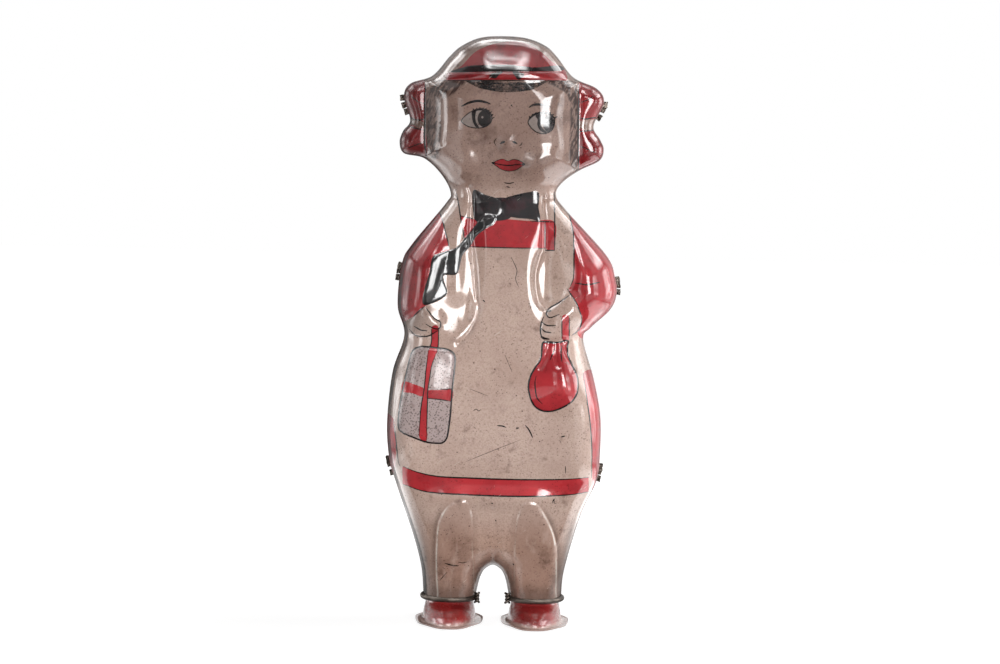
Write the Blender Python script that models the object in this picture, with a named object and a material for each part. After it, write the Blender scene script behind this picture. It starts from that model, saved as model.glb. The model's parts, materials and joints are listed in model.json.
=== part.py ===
"""Tin wind-up doll: two stamped tinplate halves, two shoes, and the clockwork that shakes them.

Metres, +Z up. The doll faces -Y, its seam plane is XZ, and the floor is z = 0.
"""
import math

import bmesh
import bpy
import numpy as np
from mathutils import Vector
from mathutils.geometry import delaunay_2d_cdt

# Tinplate and clearances
TIN = 0.0004
GAP = 0.0003
RUNNING_GAP = 0.0002

# Outer seam curve, as (distance from the middle, height), from the crown down to above the ankle
CROWN_HEIGHT = 0.2030
LEFT_SIDE = (
    (0.0080, 0.2023), (0.0145, 0.1993), (0.0185, 0.1956), (0.0242, 0.1890), (0.0318, 0.1861),
    (0.0339, 0.1815), (0.0316, 0.1736), (0.0340, 0.1698), (0.0351, 0.1660), (0.0335, 0.1622),
    (0.0265, 0.1606), (0.0205, 0.1552), (0.0172, 0.1490), (0.0190, 0.1450), (0.0300, 0.1312),
    (0.0335, 0.1243), (0.0347, 0.1100), (0.0322, 0.0998), (0.0360, 0.0870), (0.0376, 0.0700),
    (0.0368, 0.0575), (0.0344, 0.0490), (0.0282, 0.0310), (0.0250, 0.0190),
)
RIGHT_SIDE = (
    (0.0080, 0.2024), (0.0145, 0.1999), (0.0185, 0.1962), (0.0242, 0.1894), (0.0323, 0.1857),
    (0.0349, 0.1810), (0.0315, 0.1728), (0.0338, 0.1684), (0.0352, 0.1650), (0.0338, 0.1610),
    (0.0270, 0.1575), (0.0212, 0.1532), (0.0191, 0.1490), (0.0225, 0.1440), (0.0368, 0.1287),
    (0.0400, 0.1213), (0.0407, 0.1150), (0.0385, 0.1097), (0.0320, 0.1034), (0.0296, 0.0995),
    (0.0334, 0.0864), (0.0360, 0.0740), (0.0364, 0.0630), (0.0354, 0.0508), (0.0302, 0.0385),
    (0.0250, 0.0190),
)
# The arch between the legs, from above the ankle up to its top
CROTCH_HEIGHT = 0.0198
CROTCH_SIDE = ((0.0048, 0.0136), (0.0039, 0.0164), (0.0026, 0.0184))

# Leg ends
LEG_X = 0.0149
ANKLE_R = 0.0091
LEG_END = 0.0088
ANKLE_WALL = 0.0003

# How far the halves stand out from the seam plane: height, front, back, straight wall, edge radius
DEPTHS = (
    (0.0180, 0.0098, 0.0097, 0.0010, 0.0091), (0.0260, 0.0120, 0.0112, 0.0022, 0.0090),
    (0.0400, 0.0148, 0.0136, 0.0036, 0.0095), (0.0560, 0.0168, 0.0150, 0.0045, 0.0100),
    (0.0800, 0.0176, 0.0155, 0.0048, 0.0100), (0.1050, 0.0162, 0.0155, 0.0048, 0.0100),
    (0.1250, 0.0146, 0.0146, 0.0044, 0.0095), (0.1400, 0.0120, 0.0120, 0.0036, 0.0088),
    (0.1490, 0.0098, 0.0098, 0.0030, 0.0082), (0.1580, 0.0126, 0.0120, 0.0030, 0.0120),
    (0.1720, 0.0148, 0.0136, 0.0030, 0.0160), (0.1900, 0.0138, 0.0126, 0.0030, 0.0150),
    (0.2030, 0.0118, 0.0110, 0.0030, 0.0130),
)
DEPTH_BLUR = 0.0030

# Ribbon bows at both sides of the head: the head ends in a crease, and the bows stand lower
HEAD_HALF_WIDTH = 0.0268
BOW_BOTTOM = 0.1560
BOW_FADE = 0.0030
BOW_DEPTH = 0.0084
BOW_RADIUS = 0.0050
CREASE_BLEND = 0.0040

# Embossed forms of the front half: x, height, half width, half height, rise (hollows are below zero)
FRONT_RELIEF = (
    (-0.0160, 0.1590, 0.0095, 0.0080, 0.0014),
    (0.0145, 0.1590, 0.0095, 0.0080, 0.0014),
    (0.0145, 0.1755, 0.0090, 0.0065, 0.0009),
    (0.0015, 0.1665, 0.0040, 0.0060, 0.0004),
    (0.0000, 0.1930, 0.0230, 0.0090, 0.0012),
    (0.0010, 0.1455, 0.0115, 0.0045, 0.0007),
    (-0.0255, 0.1200, 0.0085, 0.0200, 0.0014),
    (0.0300, 0.1180, 0.0100, 0.0180, 0.0016),
    (0.0225, 0.1060, 0.0075, 0.0090, 0.0014),
    (-0.0225, 0.1060, 0.0060, 0.0060, 0.0010),
    (0.0220, 0.0850, 0.0100, 0.0130, 0.0024),
    (-0.0245, 0.0830, 0.0110, 0.0190, 0.0012),
    (0.0000, 0.0450, 0.0330, 0.0050, 0.0009),
    (-0.0095, 0.1260, 0.0055, 0.0270, -0.0014),
    (0.0160, 0.1220, 0.0065, 0.0180, -0.0015),
    (-0.0125, 0.1080, 0.0080, 0.0090, -0.0011),
    (-0.0155, 0.0360, 0.0105, 0.0180, 0.0012),
    (0.0140, 0.0360, 0.0105, 0.0180, 0.0012),
)

# Seam tabs: side, height
TABS = (
    ("left", 0.1790), ("right", 0.1785), ("left", 0.1215),
    ("right", 0.1180), ("left", 0.0540), ("right", 0.0530),
)
TAB_LENGTH = 0.0066
TAB_REACH = 0.0013
TAB_TIN = 0.0005

# Ankle rings and shoes
RING_HEIGHT = 0.0022
RING_WALL = 0.0009
LIP_HEIGHT = 0.0004
SHOE_NECK_R = 0.0083
SHOE_HALF_WIDTH = 0.0092
SHOE_FRONT = 0.0188
SHOE_BACK = 0.0108
BRIM = 0.0026
BRIM_RISE = 0.0012

# Clockwork
MODULE_1 = 0.0008
MODULE_2 = 0.0007
MODULE_3 = 0.0006
PINION_TEETH = 10
GREAT_TEETH = 42
SECOND_TEETH = 36
THIRD_TEETH = 30
BACKLASH = 0.0003
TOOTH_TIP = 0.85
TOOTH_ROOT = 1.2
PRESSURE = math.radians(20)
WINDING_Z = 0.0780
SECOND_BEARING = math.radians(75)
THIRD_BEARING = math.radians(130)
VIBRATOR_BEARING = math.radians(45)
WHEEL_TIN = 0.0009
PINION_WIDTH = 0.0020
STEP_BACK = 0.0022

# Motor plates and pillars
PLATE_HALF_WIDTH = 0.0200
PLATE_BOTTOM = 0.0550
PLATE_TOP = 0.1290
PLATE_TIN = 0.0008
FRONT_PLATE_Y = -0.0090
BACK_PLATE_Y = 0.0080
PILLAR_INSET = 0.0034
PILLAR_R = 0.0017
TENON_R = 0.0010
EAR_HEIGHTS = (0.0620, 0.1180)
EAR_WIDTH = 0.0050
EAR_FOLD = 0.0030

# Arbors
ARBOR_R = 0.0011
PIVOT_R = 0.0007
PIVOT_REACH = 0.0007
WINDING_R = 0.0022
WINDING_PIVOT_R = 0.0016
SPRING_HUB_R = 0.0030

# Mainspring, ratchet and click
SPRING_BACK = 0.0066
SPRING_FRONT = 0.0006
SPRING_TIN = 0.00035
SPRING_TURNS = 6
SPRING_OUTER_R = 0.0158
GREAT_WHEEL_Y = -0.0018
RATCHET_TEETH = 16
RATCHET_R = 0.0060
RATCHET_ROOT_R = 0.0050
CLICK_R = 0.0125
CLICK_WIDTH = 0.0016
RIVET_R = 0.0007
RIVET_HEAD = 0.0013

# Eccentric weight
WEIGHT_R = 0.0070
WEIGHT_FRONT = 0.0012
WEIGHT_BACK = 0.0052

# Winding key and its eyelet
EYELET_R = 0.0023
EYELET_FLANGE = 0.0018
KEY_STANDOFF = 0.0016
KEY_STEM_R = 0.0030
KEY_STEM = 0.0085
KEY_BORE = 0.0055
KEY_TIN = 0.0011
KEY_FOCUS = 0.0090
KEY_OVAL = 0.0099
KEY_EYE_R = 0.0027

# Fineness of the faceted surfaces
OUTLINE_STEP = 0.0058
BEND_STEP = math.radians(22)
LATTICE_STEP = 0.0056
EDGE_ANGLES = (30, 60, 90)
SIDES = 16
RING_SIDES = 30

for old in list(bpy.data.objects):
    bpy.data.objects.remove(old, do_unlink=True)

figure = bpy.data.objects.new("figure", None)
bpy.context.scene.collection.objects.link(figure)


def finish(name, colour, roughness, metallic):
    """A plain painted or bare metal finish."""
    material = bpy.data.materials.new(name)
    material.use_nodes = True
    shader = material.node_tree.nodes["Principled BSDF"]
    shader.inputs["Base Color"].default_value = (*colour, 1)
    shader.inputs["Roughness"].default_value = roughness
    shader.inputs["Metallic"].default_value = metallic
    return material


def add_object(name, points, faces, look, at=(0, 0, 0)):
    """A mesh object hung on the figure's empty, with its faces turned outwards."""
    mesh = bpy.data.meshes.new(name)
    mesh.from_pydata(points, [], faces)
    shape = bmesh.new()
    shape.from_mesh(mesh)
    bmesh.ops.recalc_face_normals(shape, faces=shape.faces)
    bmesh.ops.triangulate(shape, faces=shape.faces)
    shape.to_mesh(mesh)
    shape.free()
    mesh.shade_smooth()
    mesh.set_sharp_from_angle(angle=math.radians(40))
    item = bpy.data.objects.new(name, mesh)
    bpy.context.scene.collection.objects.link(item)
    item.parent = figure
    item.location = at
    if look:
        mesh.materials.append(finish(name, *look))
    return item


def add_helper(name, points, faces, at=(0, 0, 0)):
    """A shape that only cuts or joins another one."""
    helper = add_object(name, points, faces, None, at)
    helper.hide_render = True
    helper.display_type = "WIRE"
    return helper


def combine(item, helper, operation):
    """Cut a helper from an object, or join it on."""
    modifier = item.modifiers.new(helper.name, "BOOLEAN")
    modifier.operation = operation
    modifier.solver = "EXACT"
    modifier.object = helper


def circle(radius, sides=SIDES, middle=(0, 0)):
    """Corner points of a round outline."""
    turn = 2 * math.pi / sides
    return [(middle[0] + radius * math.cos(turn * i), middle[1] + radius * math.sin(turn * i))
            for i in range(sides)]


def extrude(loops, low, high, axis="Y"):
    """Points and faces of a flat outline with holes, given thickness along Y or Z."""
    flat = []
    owner = []
    edges = []
    for number, loop in enumerate(loops):
        first = len(flat)
        flat += [Vector(point) for point in loop]
        owner += [number] * len(loop)
        edges += [(first + i, first + (i + 1) % len(loop)) for i in range(len(loop))]
    triangles = delaunay_2d_cdt(flat, edges, [], 1, 1e-9)[2]
    caps = [tri for tri in triangles if not is_hole(tri, owner)]
    if axis == "Y":
        points = [(p.x, level, p.y) for level in (low, high) for p in flat]
    else:
        points = [(p.x, p.y, level) for level in (low, high) for p in flat]
    count = len(flat)
    faces = [tuple(tri) for tri in caps]
    faces += [tuple(i + count for i in reversed(tri)) for tri in caps]
    faces += [(a, b, b + count, a + count) for a, b in edges]
    return points, faces


def is_hole(tri, owner):
    """Whether a triangle fills a hole: all its corners lie on one inner loop."""
    return owner[tri[0]] > 0 and len({owner[i] for i in tri}) == 1


def lathe(profile, axis="Y", sides=SIDES, closed=False):
    """Points and faces of a turned shape from (radius, place along the axis) pairs.

    An open profile starts and ends on the axis, and a closed one makes a ring.
    """
    turn = 2 * math.pi / sides
    points = []
    rows = []
    for radius, along in profile:
        count = 1 if radius == 0 else sides
        rows.append([len(points) + i for i in range(count)])
        for i in range(count):
            across = (radius * math.cos(turn * i), radius * math.sin(turn * i))
            points.append((across[0], along, across[1]) if axis == "Y" else (*across, along))
    pairs = list(zip(rows, rows[1:]))
    if closed:
        pairs.append((rows[-1], rows[0]))
    faces = []
    for one, two in pairs:
        for i in range(sides):
            j = (i + 1) % sides
            corners = (one[i % len(one)], one[j % len(one)], two[j % len(two)], two[i % len(two)])
            faces.append(tuple(dict.fromkeys(corners)))
    return points, faces


# Seam outline

RIGHT_REACH = max(x for x, z in RIGHT_SIDE)


def smooth_curve(knots, step):
    """Points along a smooth curve through the knots, closer together where it bends."""
    knots = np.array(knots)
    ends = np.vstack([2 * knots[0] - knots[1], knots, 2 * knots[-1] - knots[-2]])
    fine = []
    for a, b, c, d in zip(ends, ends[1:], ends[2:], ends[3:]):
        for t in np.arange(0, 1, 0.05):
            fine.append(((2 * b) + (c - a) * t + (2 * a - 5 * b + 4 * c - d) * t ** 2
                         + (3 * b - a - 3 * c + d) * t ** 3) / 2)
    fine = np.array(fine + [knots[-1]])
    run = np.diff(fine, axis=0)
    heading = np.unwrap(np.arctan2(run[:, 1], run[:, 0]))
    bend = np.abs(np.diff(heading, prepend=heading[0]))
    travel = np.concatenate([[0], np.cumsum(np.linalg.norm(run, axis=1) / step + bend / BEND_STEP)])
    even = np.linspace(0, travel[-1], max(2, round(travel[-1])) + 1)
    return np.column_stack([np.interp(even, travel, fine[:, i]) for i in range(2)])


def seam_curves(step):
    """The outer seam, from the right ankle over the head to the left one, and the crotch arch."""
    outside = LEG_X + ANKLE_R
    inside = LEG_X - ANKLE_R
    outer = [(outside, LEG_END)] + list(reversed(RIGHT_SIDE)) + [(0, CROWN_HEIGHT)]
    outer += [(-x, z) for x, z in LEFT_SIDE] + [(-outside, LEG_END)]
    arch = [(-inside, LEG_END)] + [(-x, z) for x, z in CROTCH_SIDE] + [(0, CROTCH_HEIGHT)]
    arch += list(reversed(CROTCH_SIDE)) + [(inside, LEG_END)]
    return smooth_curve(outer, step), smooth_curve(arch, step)


def seam_distance(points, curves):
    """Distance of each point from the nearest seam curve."""
    best = np.full(len(points), np.inf)
    for curve in curves:
        for start, end in zip(curve[:-1], curve[1:]):
            run = end - start
            along = np.clip(((points - start) @ run) / (run @ run), 0, 1)
            best = np.minimum(best, np.linalg.norm(points - start - along[:, None] * run, axis=1))
    return best


def is_inside(points, loop):
    """Whether each point lies inside a closed loop."""
    inside = np.zeros(len(points), dtype=bool)
    x, z = points[:, 0], points[:, 1]
    for (x1, z1), (x2, z2) in zip(loop, np.roll(loop, -1, axis=0)):
        crosses = (z1 > z) != (z2 > z)
        rise = z2 - z1 if z2 != z1 else 1
        inside ^= crosses & (x < x1 + (z - z1) * (x2 - x1) / rise)
    return inside


# Depth of the stamped halves

def smooth_step(value, low, high):
    """0 below low, 1 above high, and a smooth change between them."""
    t = np.clip((value - low) / (high - low), 0, 1)
    return t * t * (3 - 2 * t)


def station(height, column):
    """One column of the depth stations at a height, with its corners rounded."""
    ankle = (LEG_END, ANKLE_R, ANKLE_R, ANKLE_WALL, ANKLE_R)
    rows = np.array(((0, *ankle[1:]), (LEG_END + DEPTH_BLUR, *ankle[1:])) + DEPTHS)
    shifts = (-DEPTH_BLUR, -DEPTH_BLUR / 2, 0, DEPTH_BLUR / 2, DEPTH_BLUR)
    return sum(np.interp(height + shift, rows[:, 0], rows[:, column]) for shift in shifts) / len(shifts)


def rounded(distance, wall, depth, radius):
    """Depth of a straight wall that turns over into a flat top by a round edge."""
    t = np.clip(distance / radius, 0, 1)
    return wall + (depth - wall) * np.sqrt(1 - (1 - t) ** 2)


def shell_depth(x, z, distance, side):
    """How far a half stands out from the seam plane, front or back."""
    wall = station(z, 3)
    radius = station(z, 4)
    beside = smooth_step(z, BOW_BOTTOM - BOW_FADE, BOW_BOTTOM)
    crease = HEAD_HALF_WIDTH + (1 - beside) * RIGHT_REACH - np.abs(x)
    depth = station(z, 1 if side == "front" else 2)
    height = rounded(np.minimum(distance, crease), wall, depth, radius)
    bow = rounded(distance, wall, BOW_DEPTH, BOW_RADIUS)
    near = np.clip(CREASE_BLEND - np.abs(height - bow), 0, CREASE_BLEND)
    fillet = near ** 2 / (4 * CREASE_BLEND) * np.clip(distance / CREASE_BLEND, 0, 1)
    height = height + (np.maximum(height, bow) + fillet - height) * beside
    if side == "front":
        edge = np.clip(distance / radius, 0, 1)
        for middle_x, middle_z, half_x, half_z, rise in FRONT_RELIEF:
            reach = ((x - middle_x) / half_x) ** 2 + ((z - middle_z) / half_z) ** 2
            height = height + rise * np.clip(1 - reach, 0, 1) ** 2 * edge
    return height


def depth_at(x, z, side):
    """Depth of one half at a single point."""
    point = np.array([[x, z]])
    distance = seam_distance(point, seam_curves(OUTLINE_STEP))
    return float(shell_depth(point[:, 0], point[:, 1], distance, side)[0])


# Stamped halves

def surface_points(curves, loop):
    """Inner points of a half: rows beside the seam, then a lattice, thinned where they crowd."""
    wanted = []
    for angle in EDGE_ANGLES:
        share = 1 - math.cos(math.radians(angle))
        for curve in curves:
            run = np.gradient(curve, axis=0)
            normal = np.column_stack([-run[:, 1], run[:, 0]])
            normal /= np.linalg.norm(normal, axis=1)[:, None]
            offset = station(curve[:, 1], 4) * share
            row = curve + normal * offset[:, None]
            clear = seam_distance(row, curves) > offset * 0.93
            wanted += list(row[clear & is_inside(row, loop)])
    rows = np.arange(LEG_END, CROWN_HEIGHT, LATTICE_STEP * math.sqrt(3) / 2)
    for number, height in enumerate(rows):
        line = np.arange(-RIGHT_REACH, RIGHT_REACH, LATTICE_STEP) + LATTICE_STEP / 2 * (number % 2)
        row = np.column_stack([line, np.full(len(line), height)])
        deep = seam_distance(row, curves) > LATTICE_STEP / 4
        wanted += list(row[deep & is_inside(row, loop) & (row[:, 1] > LEG_END + LATTICE_STEP / 3)])
    return thin_out(np.array(wanted), loop)


def thin_out(wanted, loop):
    """Keep points that aren't too close to the outline or to those kept before."""
    kept = np.array(loop)
    edge_count = len(kept)
    closed = np.vstack([loop, loop[:1]])
    distance = seam_distance(wanted, [closed])
    for point, room in zip(wanted, distance):
        spacing = min(LATTICE_STEP * 0.62, max(room * 0.9, OUTLINE_STEP * 0.16))
        if np.min(np.linalg.norm(kept - point, axis=1)) > spacing:
            kept = np.vstack([kept, point])
    return kept[edge_count:]


def ankle_points(curves):
    """Points along the two open leg ends, between the seam curves' end points."""
    count = 2 * len(EDGE_ANGLES)
    turns = [math.pi * i / count for i in range(1, count)]
    return [(middle - ANKLE_R * math.cos(turn), LEG_END) for middle in (-LEG_X, LEG_X) for turn in turns]


def shell_mesh(side):
    """Points and faces of one half's outer surface, open at the seam and at the leg ends."""
    outer, arch = curves = seam_curves(OUTLINE_STEP)
    ends = ankle_points(curves)
    half = len(ends) // 2
    loop = np.array(list(outer) + ends[:half] + list(arch) + ends[half:])
    inner = surface_points(curves, loop)
    flat = np.vstack([loop, inner])
    corners = [list(range(len(loop)))]
    verts, edges, faces = delaunay_2d_cdt([Vector(p) for p in flat], [], corners, 1, 1e-9)[:3]
    flat = np.array([(v.x, v.y) for v in verts])
    height = shell_depth(flat[:, 0], flat[:, 1], seam_distance(flat, curves), side)
    sign = -1 if side == "front" else 1
    points = [(x, sign * y, z) for (x, z), y in zip(flat, height)]
    seam_y = sign * GAP / 2
    for start, count in ((0, len(outer)), (len(outer) + half, len(arch))):
        first = len(points)
        points += [(x, seam_y, z) for x, z in flat[start:start + count]]
        faces += [(start + i, start + i + 1, first + i + 1, first + i) for i in range(count - 1)]
    return points, [tuple(face) for face in faces]


def make_shell(side, look):
    """One stamped half with its sheet thickness."""
    points, faces = shell_mesh(side)
    shell = add_object(side + "_shell", points, faces, look)
    middle = sum(face.normal.y * face.area for face in shell.data.polygons)
    if (middle > 0) == (side == "front"):
        shell.data.flip_normals()
    sheet = shell.modifiers.new("sheet", "SOLIDIFY")
    sheet.thickness = TIN
    sheet.offset = -1
    return shell


def tab_place(side, height):
    """Middle of a seam tab, with the directions out of the seam and along it."""
    outer = seam_curves(OUTLINE_STEP)[0]
    half = outer[outer[:, 0] > 0] if side == "right" else outer[outer[:, 0] < 0]
    near = np.argmin(np.abs(half[:, 1] - height))
    near = min(max(near, 1), len(half) - 2)
    run = half[near + 1] - half[near - 1]
    run /= np.linalg.norm(run)
    return half[near], np.array([run[1], -run[0]]), run


def tab_block(name, profile, side, height):
    """A helper with a profile of (out of the seam, along Y), run along the seam for a tab's length."""
    middle, out, run = tab_place(side, height)
    points = []
    for along in (-TAB_LENGTH / 2, TAB_LENGTH / 2):
        for reach, level in profile:
            x, z = middle + out * reach + run * along
            points.append((x, level, z))
    count = len(profile)
    faces = [tuple(range(count)), tuple(range(2 * count - 1, count - 1, -1))]
    faces += [(i, (i + 1) % count, (i + 1) % count + count, i + count) for i in range(count)]
    return add_helper(name, points, faces)


def add_tabs(front, back):
    """Lugs on the front half, and tabs on the back half that are folded over them."""
    root = -TIN * 0.7
    near = GAP / 2
    far = near + TAB_TIN
    web = TAB_REACH + GAP
    fold = far + GAP
    lug = ((root, -near), (TAB_REACH, -near), (TAB_REACH, -far), (root, -far))
    tab = ((root, near), (web, near), (web, -fold), (GAP, -fold), (GAP, -fold - TAB_TIN),
           (web + TAB_TIN, -fold - TAB_TIN), (web + TAB_TIN, far), (root, far))
    for number, (side, height) in enumerate(TABS):
        combine(front, tab_block(f"lug_{number}", lug, side, height), "UNION")
        combine(back, tab_block(f"tab_{number}", tab, side, height), "UNION")


# Ankle rings and shoes

FLANGE_TOP = LEG_END - GAP
FLANGE_BOTTOM = FLANGE_TOP - TIN
LIP_TOP = FLANGE_BOTTOM - GAP
RING_BOTTOM = LIP_TOP - LIP_HEIGHT
RING_INNER_R = ANKLE_R + GAP
RING_OUTER_R = RING_INNER_R + RING_WALL


def make_ankle_ring(name, middle):
    """A crimped ring round the leg end, with a lip under the shoe's flange."""
    lip = SHOE_NECK_R + GAP
    top = RING_BOTTOM + RING_HEIGHT
    bulge = RING_WALL / 3
    profile = ((lip, RING_BOTTOM), (RING_OUTER_R - bulge, RING_BOTTOM),
               (RING_OUTER_R, RING_BOTTOM + bulge), (RING_OUTER_R, top - bulge),
               (RING_OUTER_R - bulge, top), (RING_INNER_R, top), (RING_INNER_R, LIP_TOP), (lip, LIP_TOP))
    points, faces = lathe(profile, "Z", RING_SIDES, True)
    add_object(name, points, faces, ((0.12, 0.11, 0.10), 0.45, 0.9), (middle, 0, 0))


def shoe_row(half_width, front, back, height):
    """One level of a shoe: round at the heel, longer at the toe."""
    row = []
    for i in range(RING_SIDES):
        turn = 2 * math.pi * i / RING_SIDES
        reach = front if math.sin(turn) < 0 else back
        row.append((half_width * math.cos(turn), reach * math.sin(turn), height))
    return row


def make_shoe(name, middle):
    """A hollow bell with a flange held in the ankle ring and a flat brim to stand on."""
    neck_top = FLANGE_BOTTOM
    neck_low = RING_BOTTOM - GAP
    brim_top = TIN
    knee = brim_top + BRIM_RISE
    wide = SHOE_HALF_WIDTH
    inner_neck = SHOE_NECK_R - TIN
    middle_z = (neck_low + knee) / 2
    ease = 0.62
    rows = [
        shoe_row(inner_neck, inner_neck, inner_neck, FLANGE_TOP),
        shoe_row(ANKLE_R, ANKLE_R, ANKLE_R, FLANGE_TOP),
        shoe_row(ANKLE_R, ANKLE_R, ANKLE_R, neck_top),
        shoe_row(SHOE_NECK_R, SHOE_NECK_R, SHOE_NECK_R, neck_top),
        shoe_row(SHOE_NECK_R, SHOE_NECK_R, SHOE_NECK_R, neck_low),
        shoe_row(blend(SHOE_NECK_R, wide, ease), blend(SHOE_NECK_R, SHOE_FRONT, ease),
                 blend(SHOE_NECK_R, SHOE_BACK, ease), middle_z),
        shoe_row(wide, SHOE_FRONT, SHOE_BACK, knee),
        shoe_row(wide + BRIM * 0.35, SHOE_FRONT + BRIM * 0.35, SHOE_BACK + BRIM * 0.35, brim_top),
        shoe_row(wide + BRIM, SHOE_FRONT + BRIM, SHOE_BACK + BRIM, brim_top),
        shoe_row(wide + BRIM, SHOE_FRONT + BRIM, SHOE_BACK + BRIM, 0),
        shoe_row(wide - TIN, SHOE_FRONT - TIN, SHOE_BACK - TIN, 0),
        shoe_row(wide - TIN, SHOE_FRONT - TIN, SHOE_BACK - TIN, knee),
        shoe_row(blend(inner_neck, wide - TIN, ease), blend(inner_neck, SHOE_FRONT - TIN, ease) - TIN,
                 blend(inner_neck, SHOE_BACK - TIN, ease), middle_z - TIN),
        shoe_row(inner_neck, inner_neck, inner_neck, neck_low - TIN),
    ]
    points = [point for row in rows for point in row]
    faces = []
    for one in range(len(rows)):
        two = (one + 1) % len(rows)
        for i in range(RING_SIDES):
            j = (i + 1) % RING_SIDES
            faces.append((one * RING_SIDES + i, one * RING_SIDES + j,
                          two * RING_SIDES + j, two * RING_SIDES + i))
    add_object(name, points, faces, ((0.42, 0.03, 0.035), 0.3, 0.1), (middle, 0, 0))


def blend(one, two, share):
    """A value between two others."""
    return one + (two - one) * share


# Clockwork layout

def polar(start, distance, bearing):
    """The point at a distance and bearing from another, in the plates' plane."""
    return start[0] + distance * math.cos(bearing), start[1] + distance * math.sin(bearing)


WINDING = (0.0, WINDING_Z)
SECOND = polar(WINDING, (GREAT_TEETH + PINION_TEETH) * MODULE_1 / 2, SECOND_BEARING)
THIRD = polar(SECOND, (SECOND_TEETH + PINION_TEETH) * MODULE_2 / 2, THIRD_BEARING)
VIBRATOR = polar(THIRD, (THIRD_TEETH + PINION_TEETH) * MODULE_3 / 2, VIBRATOR_BEARING)
SECOND_WHEEL_Y = GREAT_WHEEL_Y - STEP_BACK
THIRD_WHEEL_Y = SECOND_WHEEL_Y - STEP_BACK
FRONT_FACE = FRONT_PLATE_Y + PLATE_TIN / 2
BACK_FACE = BACK_PLATE_Y - PLATE_TIN / 2
STEEL = ((0.36, 0.36, 0.37), 0.35, 1.0)
BRASS = ((0.55, 0.40, 0.16), 0.35, 1.0)
DARK_STEEL = ((0.14, 0.15, 0.18), 0.3, 1.0)


def pillar_places():
    """Name and place of each pillar."""
    reach = PLATE_HALF_WIDTH - PILLAR_INSET
    heights = (("lower", PLATE_BOTTOM + PILLAR_INSET), ("upper", PLATE_TOP - PILLAR_INSET))
    sides = (("left", -reach), ("right", reach))
    return {f"{level}_{side}": (x, z) for level, z in heights for side, x in sides}


def flank_angle(radius, base):
    """Angle that an involute turns from its base circle to a radius."""
    slope = math.acos(min(1.0, base / radius))
    return math.tan(slope) - slope


def gear_outline(teeth, module, turn):
    """Outline of a gear with involute flanks, its first tooth turned to an angle."""
    pitch = teeth * module / 2
    base = pitch * math.cos(PRESSURE)
    root = pitch - TOOTH_ROOT * module
    half = (math.pi * module / 2 - BACKLASH) / 2 / pitch + flank_angle(pitch, base)
    flank = [(radius, half - flank_angle(radius, base))
             for radius in (max(base, root), pitch, pitch + TOOTH_TIP * module)]
    if root < base:
        flank.insert(0, (root, half))
    if teeth > 2 * PINION_TEETH:
        del flank[-2]
    outline = []
    for tooth in range(teeth):
        middle = turn + 2 * math.pi * tooth / teeth
        outline += [(r * math.cos(middle - a), r * math.sin(middle - a)) for r, a in flank]
        outline += [(r * math.cos(middle + a), r * math.sin(middle + a)) for r, a in reversed(flank)]
    return outline


def make_wheel(name, place, teeth, module, bearing, level, bore, holes=(), look=BRASS):
    """A toothed wheel with a tooth towards the pinion that it drives."""
    loops = [gear_outline(teeth, module, bearing), circle(bore)] + list(holes)
    points, faces = extrude(loops, level - WHEEL_TIN / 2, level + WHEEL_TIN / 2)
    add_object(name, points, faces, look, (place[0], 0, place[1]))


def make_pinion(name, place, module, bearing, level):
    """A pinion with a gap towards the wheel that drives it."""
    turn = bearing + math.pi + math.pi / PINION_TEETH
    loops = [gear_outline(PINION_TEETH, module, turn), circle(ARBOR_R + RUNNING_GAP, 12)]
    points, faces = extrude(loops, level - PINION_WIDTH / 2, level + PINION_WIDTH / 2)
    add_object(name, points, faces, STEEL, (place[0], 0, place[1]))


def wheel_windows(teeth, module, count):
    """Round lightening holes in a wheel."""
    pitch = teeth * module / 2
    ring = blend(ARBOR_R, pitch - TOOTH_ROOT * module, 0.55)
    size = pitch * 0.2
    return [circle(size, 12, polar((0, 0), ring, 2 * math.pi * i / count)) for i in range(count)]


def make_arbor(name, place):
    """A steel arbor with a thinner pivot through each plate."""
    front = FRONT_FACE - PLATE_TIN - PIVOT_REACH
    back = BACK_FACE + PLATE_TIN + PIVOT_REACH
    shoulder_front = FRONT_FACE + GAP
    shoulder_back = BACK_FACE - GAP
    profile = ((0, front), (PIVOT_R, front), (PIVOT_R, shoulder_front), (ARBOR_R, shoulder_front),
               (ARBOR_R, shoulder_back), (PIVOT_R, shoulder_back), (PIVOT_R, back), (0, back))
    points, faces = lathe(profile, "Y", 12)
    add_object(name, points, faces, STEEL, (place[0], 0, place[1]))


def make_train():
    """Second, third and vibrator arbors with their wheels and pinions."""
    make_arbor("second_arbor", SECOND)
    make_pinion("second_pinion", SECOND, MODULE_1, SECOND_BEARING, GREAT_WHEEL_Y)
    make_wheel("second_wheel", SECOND, SECOND_TEETH, MODULE_2, THIRD_BEARING, SECOND_WHEEL_Y,
               ARBOR_R + RUNNING_GAP, wheel_windows(SECOND_TEETH, MODULE_2, 4))
    make_arbor("third_arbor", THIRD)
    make_pinion("third_pinion", THIRD, MODULE_2, THIRD_BEARING, SECOND_WHEEL_Y)
    make_wheel("third_wheel", THIRD, THIRD_TEETH, MODULE_3, VIBRATOR_BEARING, THIRD_WHEEL_Y,
               ARBOR_R + RUNNING_GAP)
    make_arbor("vibrator_arbor", VIBRATOR)
    make_pinion("vibrator_pinion", VIBRATOR, MODULE_3, VIBRATOR_BEARING, THIRD_WHEEL_Y)
    make_weight()


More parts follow.
